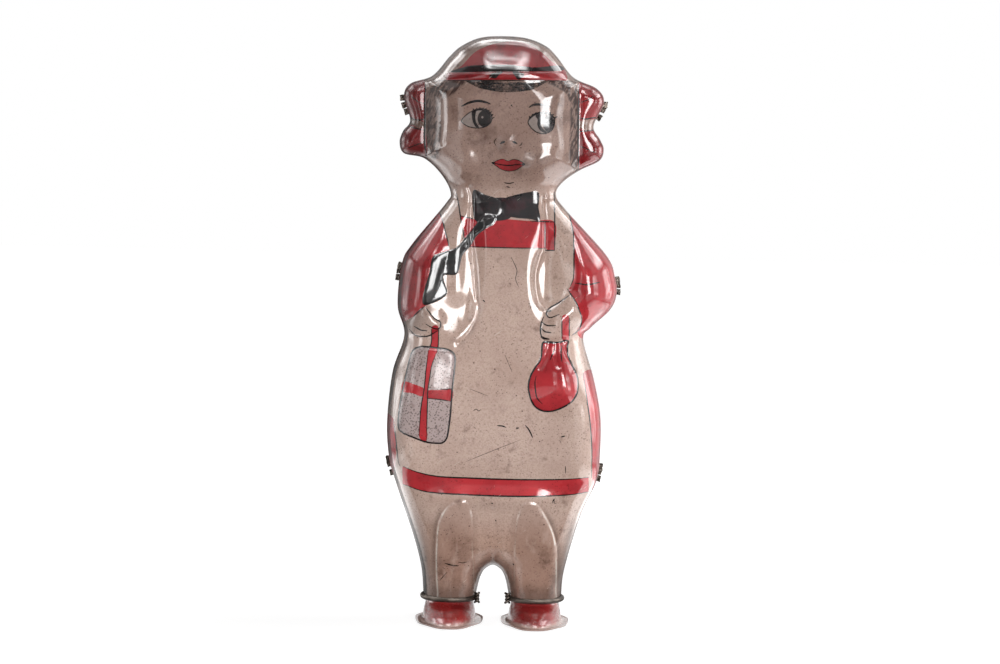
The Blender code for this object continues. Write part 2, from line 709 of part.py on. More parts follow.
def make_weight():
    """A half disc that runs out of balance on the vibrator arbor."""
    hub = ARBOR_R * 2.2
    arc = [polar((0, 0), WEIGHT_R, math.pi + math.pi * i / 14) for i in range(15)]
    top = [polar((0, 0), hub, math.pi * i / 8) for i in range(9)]
    loops = [arc + top, circle(ARBOR_R + RUNNING_GAP, 12)]
    points, faces = extrude(loops, WEIGHT_FRONT, WEIGHT_BACK)
    add_object("eccentric_weight", points, faces, ((0.2, 0.2, 0.2), 0.5, 1.0), (VIBRATOR[0], 0, VIBRATOR[1]))


# Motor frame

def plate_loops():
    """Outline of a motor plate with its pivot holes and tenon holes."""
    x = PLATE_HALF_WIDTH
    cut = PILLAR_INSET * 0.6
    outline = [(-x + cut, PLATE_BOTTOM), (x - cut, PLATE_BOTTOM), (x, PLATE_BOTTOM + cut),
               (x, PLATE_TOP - cut), (x - cut, PLATE_TOP), (-x + cut, PLATE_TOP),
               (-x, PLATE_TOP - cut), (-x, PLATE_BOTTOM + cut)]
    holes = [circle(PIVOT_R + RUNNING_GAP, 12, place) for place in (SECOND, THIRD, VIBRATOR)]
    holes += [circle(TENON_R + GAP, 12, place) for place in pillar_places().values()]
    holes.append(circle(WINDING_PIVOT_R + RUNNING_GAP, SIDES, WINDING))
    return [outline] + holes


def make_plates():
    """The two motor plates, the back one with ears folded over outside the back half."""
    tin = ((0.42, 0.42, 0.42), 0.4, 1.0)
    half = PLATE_TIN / 2
    points, faces = extrude(plate_loops(), FRONT_PLATE_Y - half, FRONT_PLATE_Y + half)
    add_object("motor_front_plate", points, faces, tin)
    points, faces = extrude(plate_loops(), BACK_PLATE_Y - half, BACK_PLATE_Y + half)
    plate = add_object("motor_back_plate", points, faces, tin)
    for side in (-1, 1):
        for number, height in enumerate(EAR_HEIGHTS):
            combine(plate, make_ear(side, number, height), "UNION")


def make_ear(side, number, height):
    """An ear bent back from the plate's edge and folded over the back half."""
    outside = PLATE_HALF_WIDTH
    inside = outside - PLATE_TIN
    rest = depth_at(outside, height, "back") + GAP * 1.5
    profile = [(inside, BACK_PLATE_Y), (outside, BACK_PLATE_Y), (outside, rest), (outside + EAR_FOLD, rest),
               (outside + EAR_FOLD, rest + PLATE_TIN), (inside, rest + PLATE_TIN)]
    loop = [(side * x, y) for x, y in profile]
    points, faces = extrude([loop], height - EAR_WIDTH / 2, height + EAR_WIDTH / 2, "Z")
    return add_helper(f"ear_{side}_{number}", points, faces)


def cut_back_shell(back):
    """The key hole, and a slot for each ear."""
    hole = EYELET_R + TIN + 2 * GAP
    points, faces = extrude([circle(hole, 24, WINDING)], BACK_PLATE_Y, BACK_PLATE_Y * 3)
    combine(back, add_helper("key_hole", points, faces), "DIFFERENCE")
    near = PLATE_HALF_WIDTH - PLATE_TIN - GAP
    far = PLATE_HALF_WIDTH + GAP
    reach = EAR_WIDTH / 2 + GAP
    for side in (-1, 1):
        for number, height in enumerate(EAR_HEIGHTS):
            loop = [(side * near, height - reach), (side * far, height - reach),
                    (side * far, height + reach), (side * near, height + reach)]
            points, faces = extrude([loop], BACK_PLATE_Y, BACK_PLATE_Y * 3)
            combine(back, add_helper(f"slot_{side}_{number}", points, faces), "DIFFERENCE")


def make_pillars():
    """Shouldered pillars that hold the plates apart, riveted through them."""
    front = FRONT_FACE - PLATE_TIN - PIVOT_REACH
    back = BACK_FACE + PLATE_TIN + PIVOT_REACH
    profile = ((0, front), (TENON_R, front), (TENON_R, FRONT_FACE + GAP), (PILLAR_R, FRONT_FACE + GAP),
               (PILLAR_R, BACK_FACE - GAP), (TENON_R, BACK_FACE - GAP), (TENON_R, back), (0, back))
    for name, place in pillar_places().items():
        points, faces = lathe(profile, "Y", 12)
        add_object(name + "_pillar", points, faces, STEEL, (place[0], 0, place[1]))


# Winding

SHELL_BACK = depth_at(*WINDING, "back")
KEY_START = SHELL_BACK + GAP + TIN + KEY_STANDOFF
KEY_MIDDLE = KEY_START + KEY_STEM + math.sqrt(KEY_OVAL ** 2 - KEY_FOCUS ** 2) * 0.6


def make_winding():
    """The winding arbor, its eyelet in the back half, and the butterfly key."""
    front = FRONT_FACE - PLATE_TIN - PIVOT_REACH
    back = KEY_START + KEY_BORE - GAP
    profile = ((0, front), (WINDING_PIVOT_R, front), (WINDING_PIVOT_R, FRONT_FACE + GAP),
               (WINDING_R, FRONT_FACE + GAP), (WINDING_R, SPRING_FRONT - GAP),
               (SPRING_HUB_R, SPRING_FRONT - GAP), (SPRING_HUB_R, SPRING_BACK + GAP),
               (WINDING_R, SPRING_BACK + GAP), (WINDING_R, BACK_FACE - GAP),
               (WINDING_PIVOT_R, BACK_FACE - GAP), (WINDING_PIVOT_R, back), (0, back))
    points, faces = lathe(profile)
    add_object("winding_arbor", points, faces, STEEL, (WINDING[0], 0, WINDING[1]))
    make_eyelet()
    make_key()


def make_eyelet():
    """A tin eyelet that lines the key hole, with a flange on each side of the sheet."""
    bore = EYELET_R
    tube = EYELET_R + TIN
    rim = EYELET_R + EYELET_FLANGE
    outer = SHELL_BACK + GAP
    inner = SHELL_BACK - TIN - GAP
    profile = ((bore, inner - TIN), (rim, inner - TIN), (rim, inner), (tube, inner), (tube, outer),
               (rim, outer), (rim, outer + TIN), (bore, outer + TIN))
    points, faces = lathe(profile, "Y", SIDES, True)
    add_object("key_eyelet", points, faces, BRASS, (WINDING[0], 0, WINDING[1]))


def make_key():
    """A stem with a blind bore, joined to a butterfly grip with two eyes."""
    bore = WINDING_PIVOT_R + GAP
    end = KEY_START + KEY_STEM
    profile = ((0, KEY_START + KEY_BORE), (bore, KEY_START + KEY_BORE), (bore, KEY_START),
               (KEY_STEM_R, KEY_START),
               (KEY_STEM_R, end - TIN), (KEY_STEM_R - TIN, end), (0, end))
    points, faces = lathe(profile)
    key = add_object("winding_key", points, faces, STEEL, (WINDING[0], 0, WINDING[1]))
    grip = []
    for i in range(48):
        turn = 2 * math.pi * i / 48
        inner = math.sqrt(KEY_OVAL ** 4 - (KEY_FOCUS ** 2 * math.sin(2 * turn)) ** 2)
        radius = math.sqrt(KEY_FOCUS ** 2 * math.cos(2 * turn) + inner)
        grip.append((radius * math.cos(turn), KEY_MIDDLE + radius * math.sin(turn)))
    eyes = [circle(KEY_EYE_R, 12, (side * KEY_FOCUS, KEY_MIDDLE)) for side in (-1, 1)]
    points, faces = extrude([grip] + eyes, -KEY_TIN / 2, KEY_TIN / 2, "Z")
    combine(key, add_helper("key_grip", points, faces, (WINDING[0], 0, WINDING[1])), "UNION")


def spring_line():
    """Middle line of the mainspring: a spiral from the hub, then a tail hooked round a pillar."""
    start = SPRING_HUB_R + GAP + SPRING_TIN / 2
    pillar = np.array(pillar_places()["lower_left"]) - np.array(WINDING)
    hook = PILLAR_R + GAP + SPRING_TIN / 2
    leave = math.radians(150)
    steps = SPRING_TURNS * 24
    line = []
    for i in range(steps + 1):
        share = i / steps
        turn = leave - 2 * math.pi * SPRING_TURNS * (1 - share)
        line.append(polar((0, 0), blend(start, SPRING_OUTER_R, share), turn))
    first = math.radians(170)
    hook_start = np.array(polar(pillar, hook, first))
    end = np.array(line[-1])
    leaving = end - np.array(line[-2])
    leaving = leaving / np.linalg.norm(leaving)
    arriving = np.array([-math.sin(first), math.cos(first)])
    pull = np.linalg.norm(hook_start - end) * 0.9
    for i in range(1, 9):
        t = i / 9
        line.append(tuple((2 * t ** 3 - 3 * t ** 2 + 1) * end + (t ** 3 - 2 * t ** 2 + t) * leaving * pull
                          + (3 * t ** 2 - 2 * t ** 3) * hook_start + (t ** 3 - t ** 2) * arriving * pull))
    for i in range(13):
        line.append(polar(pillar, hook, first + math.radians(250) * i / 12))
    return np.array(line)


def make_mainspring():
    """A spring-steel ribbon along its middle line."""
    line = spring_line()
    run = np.gradient(line, axis=0)
    run /= np.linalg.norm(run, axis=1)[:, None]
    aside = np.column_stack([-run[:, 1], run[:, 0]]) * SPRING_TIN / 2
    points = []
    for middle, side in zip(line, aside):
        for edge in (middle - side, middle + side):
            points += [(edge[0], SPRING_FRONT, edge[1]), (edge[0], SPRING_BACK, edge[1])]
    faces = [(0, 1, 3, 2), tuple(len(points) - 4 + i for i in (0, 2, 3, 1))]
    for i in range(len(line) - 1):
        a = 4 * i
        for one, two in ((0, 1), (1, 3), (3, 2), (2, 0)):
            faces.append((a + one, a + two, a + two + 4, a + one + 4))
    add_object("mainspring", points, faces, DARK_STEEL, (WINDING[0], 0, WINDING[1]))
    least = min(np.linalg.norm(line[:i - 8] - line[i], axis=1).min() for i in range(9, len(line)))
    print(f"mainspring least gap to itself {1000 * (least - SPRING_TIN):.2f} mm")


def make_ratchet():
    """The great wheel, and the ratchet on the winding arbor that its click rides on."""
    bore = WINDING_R + RUNNING_GAP
    level = GREAT_WHEEL_Y + WHEEL_TIN / 2 + GAP
    outline = []
    for tooth in range(RATCHET_TEETH):
        turn = 2 * math.pi * tooth / RATCHET_TEETH
        outline += [polar((0, 0), RATCHET_R, turn), polar((0, 0), RATCHET_ROOT_R, turn + 0.04)]
    points, faces = extrude([outline, circle(bore)], level, level + WHEEL_TIN)
    place = (WINDING[0], 0, WINDING[1])
    add_object("ratchet_wheel", points, faces, STEEL, place)
    rivet = polar((0, 0), CLICK_R, math.radians(-60))
    hole = RIVET_R + RUNNING_GAP
    make_wheel("great_wheel", WINDING, GREAT_TEETH, MODULE_1, SECOND_BEARING, GREAT_WHEEL_Y, bore,
               [circle(hole, 12, rivet)])
    make_click(rivet, hole, level, place)


def make_click(rivet, hole, level, place):
    """A springy click, riveted to the great wheel, whose tip rides on the ratchet's teeth."""
    pad = [polar(rivet, CLICK_WIDTH, math.radians(a)) for a in range(-150, 31, 20)]
    tip_r = RATCHET_R + RUNNING_GAP
    tip = [polar((0, 0), tip_r, math.radians(8)), polar((0, 0), tip_r, math.radians(2))]
    elbow = [polar((0, 0), tip_r + CLICK_WIDTH * 1.6, math.radians(-8)),
             polar((0, 0), tip_r + CLICK_WIDTH * 0.5, math.radians(-18))]
    outline = pad + [elbow[0]] + tip + [elbow[1]]
    points, faces = extrude([outline, circle(hole, 12, rivet)], level, level + TIN)
    add_object("click_spring", points, faces, DARK_STEEL, place)
    low = GREAT_WHEEL_Y - WHEEL_TIN / 2 - GAP
    high = level + TIN + GAP
    profile = ((0, low - TIN), (RIVET_HEAD, low - TIN), (RIVET_HEAD, low), (RIVET_R, low), (RIVET_R, high),
               (RIVET_HEAD, high), (RIVET_HEAD, high + TIN), (0, high + TIN))
    points, faces = lathe(profile, "Y", 12)
    points = [(x + rivet[0], y, z + rivet[1]) for x, y, z in points]
    add_object("click_rivet", points, faces, STEEL, place)


def stand_on_origin():
    """Move the figure so that its box stands on the origin, with its middle there."""
    bpy.context.view_layer.update()
    graph = bpy.context.evaluated_depsgraph_get()
    corners = []
    for item in bpy.data.objects:
        if item.type == "MESH" and not item.hide_render:
            shape = item.evaluated_get(graph)
            corners += [item.matrix_world @ Vector(corner) for corner in shape.bound_box]
    for axis in (0, 1):
        values = [corner[axis] for corner in corners]
        figure.location[axis] = -(min(values) + max(values)) / 2
    bpy.context.view_layer.update()
    print("figure offset in mm", [round(1000 * value, 3) for value in figure.location])


front_shell = make_shell("front", ((0.55, 0.42, 0.36), 0.25, 0.2))
back_shell = make_shell("back", ((0.42, 0.03, 0.035), 0.25, 0.2))
cut_back_shell(back_shell)
add_tabs(front_shell, back_shell)
for word, sign in (("left", -1), ("right", 1)):
    make_ankle_ring(word + "_ankle_ring", sign * LEG_X)
    make_shoe(word + "_shoe", sign * LEG_X)
make_plates()
make_pillars()
make_winding()
make_mainspring()
make_ratchet()
make_train()
stand_on_origin()
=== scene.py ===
import json
import math
from functools import partial

import bmesh
import bpy
import numpy as np
from mathutils import Matrix, Vector
from mathutils.geometry import delaunay_2d_cdt


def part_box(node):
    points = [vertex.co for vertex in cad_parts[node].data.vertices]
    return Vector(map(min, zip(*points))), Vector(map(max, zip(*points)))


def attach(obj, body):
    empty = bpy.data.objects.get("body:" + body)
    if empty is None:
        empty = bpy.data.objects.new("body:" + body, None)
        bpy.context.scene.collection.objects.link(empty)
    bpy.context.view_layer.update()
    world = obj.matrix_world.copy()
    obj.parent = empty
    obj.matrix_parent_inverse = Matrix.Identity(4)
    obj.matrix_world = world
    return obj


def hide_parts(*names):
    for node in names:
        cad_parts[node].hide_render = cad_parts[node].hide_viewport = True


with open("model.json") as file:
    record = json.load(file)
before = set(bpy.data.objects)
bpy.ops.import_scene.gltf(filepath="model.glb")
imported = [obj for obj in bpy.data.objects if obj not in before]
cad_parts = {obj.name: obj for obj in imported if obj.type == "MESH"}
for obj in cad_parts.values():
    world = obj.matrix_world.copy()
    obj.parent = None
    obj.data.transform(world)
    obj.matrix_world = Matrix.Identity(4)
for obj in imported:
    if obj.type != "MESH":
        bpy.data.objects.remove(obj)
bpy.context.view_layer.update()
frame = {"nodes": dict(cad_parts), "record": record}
scene = bpy.context.scene
scene.view_settings.view_transform = "Standard"
print("frame loaded")

# Figure frame: millimetres from the middle between the ankles at floor level,
# x to the viewer's right, y to the back, z up
mm = 0.001
ringBoxes = [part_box(side + "_ankle_ring") for side in ("left", "right")]
figureX = sum(low.x + high.x for low, high in ringBoxes) / 4 / mm
figureY = sum(low.y + high.y for low, high in ringBoxes) / 4 / mm


def toWorld(points):
    return (np.asarray(points, float) + (figureX, figureY, 0)) * mm


def addObject(name, data):
    item = bpy.data.objects.new(name, data)
    scene.collection.objects.link(item)
    return item


# Camera, fitted to the photograph: the seam plane is drawn at this many millimetres to a pixel
photo = {
    "width": 1000,
    "height": 664,
    "mmPerPixel": 0.347,
    "aim": (0.8, 0.0, 101.0),
    "distance": 900.0,
    "lookDown": math.radians(4.1),
    "lean": math.radians(1.2),
    "sensor": 36.0,
    "clipStart": 0.01,
    "castDepth": 12.0,
    "castRounds": 6,
}


def cameraAxes():
    aim = np.array(photo["aim"])
    eye = aim + photo["distance"] * np.array([0, -math.cos(photo["lookDown"]), math.sin(photo["lookDown"])])
    ahead = (aim - eye) / photo["distance"]
    levelRight = np.cross(ahead, (0, 0, 1))
    levelRight /= np.linalg.norm(levelRight)
    levelUp = np.cross(levelRight, ahead)
    turn = photo["lean"]
    right = math.cos(turn) * levelRight + math.sin(turn) * levelUp
    up = math.cos(turn) * levelUp - math.sin(turn) * levelRight
    return eye, ahead, right, up


def addCamera():
    eye, ahead, right, up = cameraAxes()
    data = bpy.data.cameras.new("camera")
    data.sensor_width = photo["sensor"]
    data.lens = photo["distance"] * photo["sensor"] / (photo["width"] * photo["mmPerPixel"])
    data.clip_start = photo["clipStart"]
    camera = addObject("camera", data)
    turn = Matrix((right, up, -ahead)).transposed().to_4x4()
    camera.matrix_world = Matrix.Translation(toWorld(eye)) @ turn
    scene.camera = camera


addCamera()
print("camera set")

# Stamped body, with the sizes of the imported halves. Sides are (distance from the middle, height)
body = {
    "crown": 203.0,
    "leftSide": (
        (8.0, 202.3), (14.5, 199.3), (18.5, 195.6), (24.2, 189.0), (31.8, 186.1), (33.9, 181.5),
        (31.6, 173.6), (34.0, 169.8), (35.1, 166.0), (33.5, 162.2), (26.5, 160.6), (20.5, 155.2),
        (17.2, 149.0), (19.0, 145.0), (30.0, 131.2), (33.5, 124.3), (34.7, 110.0), (32.2, 99.8), (36.0, 87.0),
        (37.6, 70.0), (36.8, 57.5), (34.4, 49.0), (28.2, 31.0), (25.0, 19.0),
    ),
    "rightSide": (
        (8.0, 202.4), (14.5, 199.9), (18.5, 196.2), (24.2, 189.4), (32.3, 185.7), (34.9, 181.0),
        (31.5, 172.8), (33.8, 168.4), (35.2, 165.0), (33.8, 161.0), (27.0, 157.5), (21.2, 153.2),
        (19.1, 149.0), (22.5, 144.0), (36.8, 128.7), (40.0, 121.3), (40.7, 115.0), (38.5, 109.7),
        (32.0, 103.4), (29.6, 99.5), (33.4, 86.4), (36.0, 74.0), (36.4, 63.0), (35.4, 50.8), (30.2, 38.5),
        (25.0, 19.0),
    ),
    "crotch": 19.8,
    "crotchSide": ((4.8, 13.6), (3.9, 16.4), (2.6, 18.4)),
    "legX": 14.9,
    "ankleR": 9.1,
    "legEnd": 8.8,
    "ankleWall": 0.3,
    # height, front, back, straight wall, edge radius
    "depths": (
        (18.0, 9.8, 9.7, 1.0, 9.1), (26.0, 12.0, 11.2, 2.2, 9.0), (40.0, 14.8, 13.6, 3.6, 9.5),
        (56.0, 16.8, 15.0, 4.5, 10.0), (80.0, 17.6, 15.5, 4.8, 10.0), (105.0, 16.2, 15.5, 4.8, 10.0),
        (125.0, 14.6, 14.6, 4.4, 9.5), (140.0, 12.0, 12.0, 3.6, 8.8), (149.0, 9.8, 9.8, 3.0, 8.2),
        (158.0, 12.6, 12.0, 3.0, 12.0), (172.0, 14.8, 13.6, 3.0, 16.0), (190.0, 13.8, 12.6, 3.0, 15.0),
        (203.0, 11.8, 11.0, 3.0, 13.0),
    ),
    "depthBlur": 3.0,
    "headHalfWidth": 26.8,
    "bowBottom": 156.0,
    "bowFade": 3.0,
    "bowDepth": 8.4,
    "bowRadius": 5.0,
    # x, height, half width, half height, rise
    "swells": (
        (-16.0, 159.0, 9.5, 8.0, 1.4), (14.5, 159.0, 9.5, 8.0, 1.4), (14.5, 175.5, 9.0, 6.5, 0.3),
        (1.5, 166.5, 4.0, 6.0, 0.4), (0.0, 193.0, 23.0, 9.0, 1.2), (1.0, 145.5, 11.5, 4.5, 0.2),
        (-25.5, 120.0, 8.5, 20.0, 1.4), (30.0, 118.0, 10.0, 18.0, 1.6), (22.5, 106.0, 7.5, 9.0, 1.4),
        (-22.5, 106.0, 6.0, 6.0, 1.0), (22.0, 85.0, 10.0, 13.0, 2.4), (-24.5, 83.0, 11.0, 19.0, 1.2),
        (0.0, 45.0, 33.0, 5.0, 0.9), (-9.5, 126.0, 5.5, 27.0, -1.4), (16.0, 122.0, 6.5, 18.0, -1.5),
        (-12.5, 108.0, 8.0, 9.0, -1.1), (-15.5, 36.0, 10.5, 18.0, 1.2), (14.0, 36.0, 10.5, 18.0, 1.2),
    ),
    "creaseBlend": 4.0,
    "tin": 0.4,
    "gap": 0.3,
    "outlineStep": 0.6,
    "seamRows": (0.03, 0.10, 0.22, 0.42),
    "frontLattice": 0.6,
    "backLattice": 0.8,
    "innerLattice": 3.0,
    "innerClear": 0.4,
    "innerEdge": 1.5,
    "innerEndClear": 1.0,
    "innerHoleClear": 0.5,
    "reliefFade": 3.0,
    "grooveStep": 0.5,
    "grooveReach": 12.0,
    "grooveClear": 1.4,
    "grooveRows": (-1.6, -1.0, -0.5, 0.0, 0.5, 1.0, 1.6),
    "padRows": (0.0, 0.3, 0.6, 1.0),
    "legSteps": 60,
    "seamClear": 0.6,
    "endClear": 0.2,
    "holeClear": 0.25,
    "detailCell": 0.17,
}
rightReach = max(x for x, z in body["rightSide"])


def smoothLine(knots, step, closed=False, fineness=0.05):
    knots = np.array(knots, float)
    if closed:
        ends = np.vstack([knots[-1:], knots, knots[:2]])
    else:
        ends = np.vstack([2 * knots[0] - knots[1], knots, 2 * knots[-1] - knots[-2]])
    a, b, c, d = ends[:-3], ends[1:-2], ends[2:-1], ends[3:]
    parts = []
    for t in np.arange(0, 1, fineness):
        bend = (2 * a - 5 * b + 4 * c - d) * t ** 2 + (3 * b - a - 3 * c + d) * t ** 3
        parts.append((2 * b + (c - a) * t + bend) / 2)
    fine = np.stack(parts, axis=1).reshape(-1, 2)
    fine = np.vstack([fine, fine[:1] if closed else knots[-1:]])
    return resample(fine, step)


def resample(line, step):
    travel = np.concatenate([[0], np.cumsum(np.linalg.norm(np.diff(line, axis=0), axis=1))])
    even = np.linspace(0, travel[-1], max(2, round(travel[-1] / step)) + 1)
    return np.column_stack([np.interp(even, travel, line[:, i]) for i in range(2)])


def openLine(knots, step):
    return smoothLine(knots, step) if len(knots) > 2 else resample(np.array(knots, float), step)


def closedLine(loop):
    return np.vstack([loop, loop[:1]])


def fullTurn(count):
    return [2 * math.pi * i / count for i in range(count)]


def seamCurves():
    outside = body["legX"] + body["ankleR"]
    inside = body["legX"] - body["ankleR"]
    end = body["legEnd"]
    outer = [(outside, end), *reversed(body["rightSide"]), (0, body["crown"])]
    outer += [(-x, z) for x, z in body["leftSide"]] + [(-outside, end)]
    arch = [(-inside, end)] + [(-x, z) for x, z in body["crotchSide"]] + [(0, body["crotch"])]
    arch += [*reversed(body["crotchSide"]), (inside, end)]
    return smoothLine(outer, body["outlineStep"]), smoothLine(arch, body["outlineStep"])


seamOuter, seamArch = seamCurves()


def lineDistance(points, line, reach):
    # Distance of each point from a line, no more than reach, and the share along the line
    best = np.full(len(points), float(reach))
    share = np.zeros(len(points))
    order = np.argsort(points[:, 1])
    byHeight = points[order]
    count = len(line) - 1
    for number, (start, end) in enumerate(zip(line[:-1], line[1:])):
        run = end - start
        size = max(run @ run, 1e-12)
        low, high = sorted((start[1], end[1]))
        first, last = np.searchsorted(byHeight[:, 1], (low - reach, high + reach))
        part = byHeight[first:last]
        along = np.clip(((part - start) @ run) / size, 0, 1)
        away = np.linalg.norm(part - start - along[:, None] * run, axis=1)
        rows = order[first:last]
        nearer = away < best[rows]
        best[rows[nearer]] = away[nearer]
        share[rows[nearer]] = (number + along[nearer]) / count
    return best, share


def seamDistance(points, reach=14.0):
    return np.minimum(lineDistance(points, seamOuter, reach)[0], lineDistance(points, seamArch, reach)[0])


def isInside(points, loop):
    inside = np.zeros(len(points), dtype=bool)
    x, z = points[:, 0], points[:, 1]
    for (x1, z1), (x2, z2) in zip(loop, np.roll(loop, -1, axis=0)):
        crosses = (z1 > z) != (z2 > z)
        rise = z2 - z1 if z2 != z1 else 1
        inside ^= crosses & (x < x1 + (z - z1) * (x2 - x1) / rise)
    return inside


def signedDistance(points, loop, reach=3.0):
    # Distance from a closed loop, below zero inside it
    result = np.full(len(points), float(reach))
    low, high = loop.min(axis=0) - reach, loop.max(axis=0) + reach
    near = np.all((points > low) & (points < high), axis=1)
    if near.any():
        part = points[near]
        away = lineDistance(part, closedLine(loop), reach)[0]
        result[near] = np.where(isInside(part, loop), -away, away)
    return result


def smoothStep(value, low, high):
    t = np.clip((value - low) / (high - low), 0, 1)
    return t * t * (3 - 2 * t)


def station(height, column):
    ankle = (body["ankleR"], body["ankleR"], body["ankleWall"], body["ankleR"])
    blur = body["depthBlur"]
    rows = np.array(((0, *ankle), (body["legEnd"] + blur, *ankle)) + body["depths"])
    shifts = (-blur, -blur / 2, 0, blur / 2, blur)
    return sum(np.interp(height + shift, rows[:, 0], rows[:, column]) for shift in shifts) / len(shifts)


def roundedEdge(distance, wall, depth, radius):
    t = np.clip(distance / radius, 0, 1)
    return wall + (depth - wall) * np.sqrt(1 - (1 - t) ** 2)


def stampedDepth(points, distance, side):
    x, z = points[:, 0], points[:, 1]
    wall, radius = station(z, 3), station(z, 4)
    beside = smoothStep(z, body["bowBottom"] - body["bowFade"], body["bowBottom"])
    crease = body["headHalfWidth"] + (1 - beside) * rightReach - np.abs(x)
    depth = station(z, 1 if side == "front" else 2)
    height = roundedEdge(np.minimum(distance, np.maximum(crease, 0)), wall, depth, radius)
    bow = roundedEdge(distance, wall, body["bowDepth"], body["bowRadius"])
    blend = body["creaseBlend"]
    fillet = np.clip(blend - np.abs(height - bow), 0, blend) ** 2 / (4 * blend)
    joined = np.maximum(height, bow) + fillet * np.clip(distance / blend, 0, 1)
    height = height + (joined - height) * beside
    if side == "front":
        edge = np.clip(distance / radius, 0, 1)
        for middleX, middleZ, halfX, halfZ, rise in body["swells"]:
            away = ((x - middleX) / halfX) ** 2 + ((z - middleZ) / halfZ) ** 2
            height = height + rise * np.clip(1 - away, 0, 1) ** 2 * edge
    return height


def castOnFront(pixels):
    # Where the camera's rays through these photo pixels meet the stamped front
    eye, ahead, right, up = cameraAxes()
    pixels = np.asarray(pixels, float)
    perPixel = photo["mmPerPixel"] / photo["distance"]
    across = (pixels[:, 0] - photo["width"] / 2) * perPixel
    above = (photo["height"] / 2 - pixels[:, 1]) * perPixel
    rays = ahead + across[:, None] * right + above[:, None] * up
    depth = np.full(len(pixels), photo["castDepth"])
    for _ in range(photo["castRounds"]):
        reach = (-depth - eye[1]) / rays[:, 1]
        hits = eye + reach[:, None] * rays
        flat = hits[:, [0, 2]]
        depth = stampedDepth(flat, seamDistance(flat), "front")
    return flat


# Lithographed artwork of the front half, given in photo pixels, cast onto the tin by the camera
def ovalMark(x, y, halfWidth, halfHeight, count=16):
    return [(x + halfWidth * math.cos(turn), y + halfHeight * math.sin(turn)) for turn in fullTurn(count)]


frontRed = {
    "cap": [
        (450, 74), (452.5, 71.8), (462.3, 65.2), (473.6, 53.2), (484.8, 46.9), (498.8, 42.7), (514.3, 41.3),
        (528.3, 44.1), (540.9, 51.8), (552.1, 61.7), (559.5, 67.5), (562, 72), (507, 74),
    ],
    "brim": [
        (446, 79.6), (447, 73.2), (452, 72.4), (507, 72.2), (562, 71.6), (566, 73), (567, 79.8), (560, 80.3),
        (507, 79.7), (452, 80.2),
    ],
    "leftUpperLobe": [(425, 84), (415, 76), (396, 78), (396, 112), (411, 118.5), (418, 119.5), (425, 119)],
    "leftLowerLobe": [(425, 130), (418, 128), (410, 125), (394, 134), (394, 160), (416, 161), (427, 160)],
    "rightUpperLobe": [(578.5, 86), (586, 78), (612, 84), (612, 112), (594, 119), (586, 119), (578.5, 118)],
    "rightLowerLobe": [
        (578.5, 131), (586, 131), (592, 130), (612, 136), (612, 172), (590, 176), (578.5, 171),
    ],
    "lips": [
        (493.2, 163), (498.8, 159.9), (503, 159.2), (508, 161), (512.9, 159.5), (518.5, 160.3),
        (524.8, 164.1), (521.3, 166.6), (515.7, 170), (508.7, 171.1), (501.6, 169.4), (496.5, 166),
    ],
    "yoke": [
        (460.5, 216), (474, 219), (503, 219), (530, 221), (554.5, 222), (554.5, 249.4), (554.4, 250.3),
        (553.6, 250.4), (546, 250.3), (545.2, 250.1), (544.6, 248.4), (505, 247.6), (466, 246.7), (464, 238),
        (462.5, 229),
    ],
    "leftSleeve": [
        (438, 206), (439.9, 213.1), (442.4, 219.7), (445, 230.9), (448.1, 242.1), (449.1, 249), (446, 262),
        (440, 285), (430, 303), (424.6, 306.4), (413.4, 316.6), (392, 322), (388, 280), (400, 240),
        (425, 212),
    ],
    "rightSleeve": [
        (567, 206), (570, 215), (571.5, 224.3), (573.6, 236), (574, 258), (573.6, 276.8), (570.5, 286),
        (568.5, 290), (571.5, 295.2), (576.6, 303.4), (580, 311), (582, 317), (581, 324), (577, 331),
        (584, 338), (608, 318), (625, 300), (625, 265), (605, 232), (578, 206),
    ],
    "purseStrap": [(562, 317), (569, 317), (569, 339), (562.2, 339)],
    "purse": [
        (542.8, 343), (541.4, 356.4), (539.2, 361.8), (534.3, 368.9), (530.3, 377), (528.5, 385.9),
        (529.4, 393.9), (532, 402), (537, 408.2), (544.1, 411.1), (553, 410.9), (562.9, 407.3),
        (571.8, 401.5), (576.7, 393.9), (578, 385.9), (577, 376), (572, 365), (568.2, 356), (567.3, 347.5),
        (567.8, 340.8), (558, 342.5), (549.5, 342.1),
    ],
    "ribbonDown": [
        (428.4, 351), (426.2, 368.4), (424, 390), (420.8, 409.6), (419.2, 436), (426.8, 440), (426.9, 422),
        (427.6, 405), (427.8, 390), (429.5, 379), (431.6, 366), (436, 353),
    ],
    "ribbonRight": [(427.5, 390.5), (440, 389.8), (452.4, 389), (451.2, 400.9), (440, 399), (427, 397.5)],
    "ribbonLeft": [(403.5, 381.5), (414, 384), (424, 388.5), (422.5, 396), (412, 393), (402, 391)],
    "handle": [(431.8, 327), (438.4, 327), (438, 345), (436.5, 353.5), (428, 352.5), (431, 342)],
    "leftDress": [(380, 418), (393, 418), (395.4, 438.9), (395.6, 461), (393, 476), (394, 490), (384, 494)],
    "rightDress": [
        (583.2, 373), (586, 392), (588.3, 408), (590.3, 424), (592, 450), (592.4, 478), (592, 490),
        (606, 490), (608, 420), (598, 374),
    ],
    "hem": [
        (402.6, 466.4), (404.5, 467.4), (417.5, 472.5), (439.2, 476.8), (471.8, 478.4), (505, 479.6),
        (540, 480), (570, 479.4), (587.6, 477.4), (588.6, 477.6), (588.6, 491.4), (587.6, 492), (570, 494.5),
        (540, 496), (505, 496), (471.8, 494.7), (428.4, 492), (406.7, 485.5), (403, 484), (402.4, 482),
    ],
}
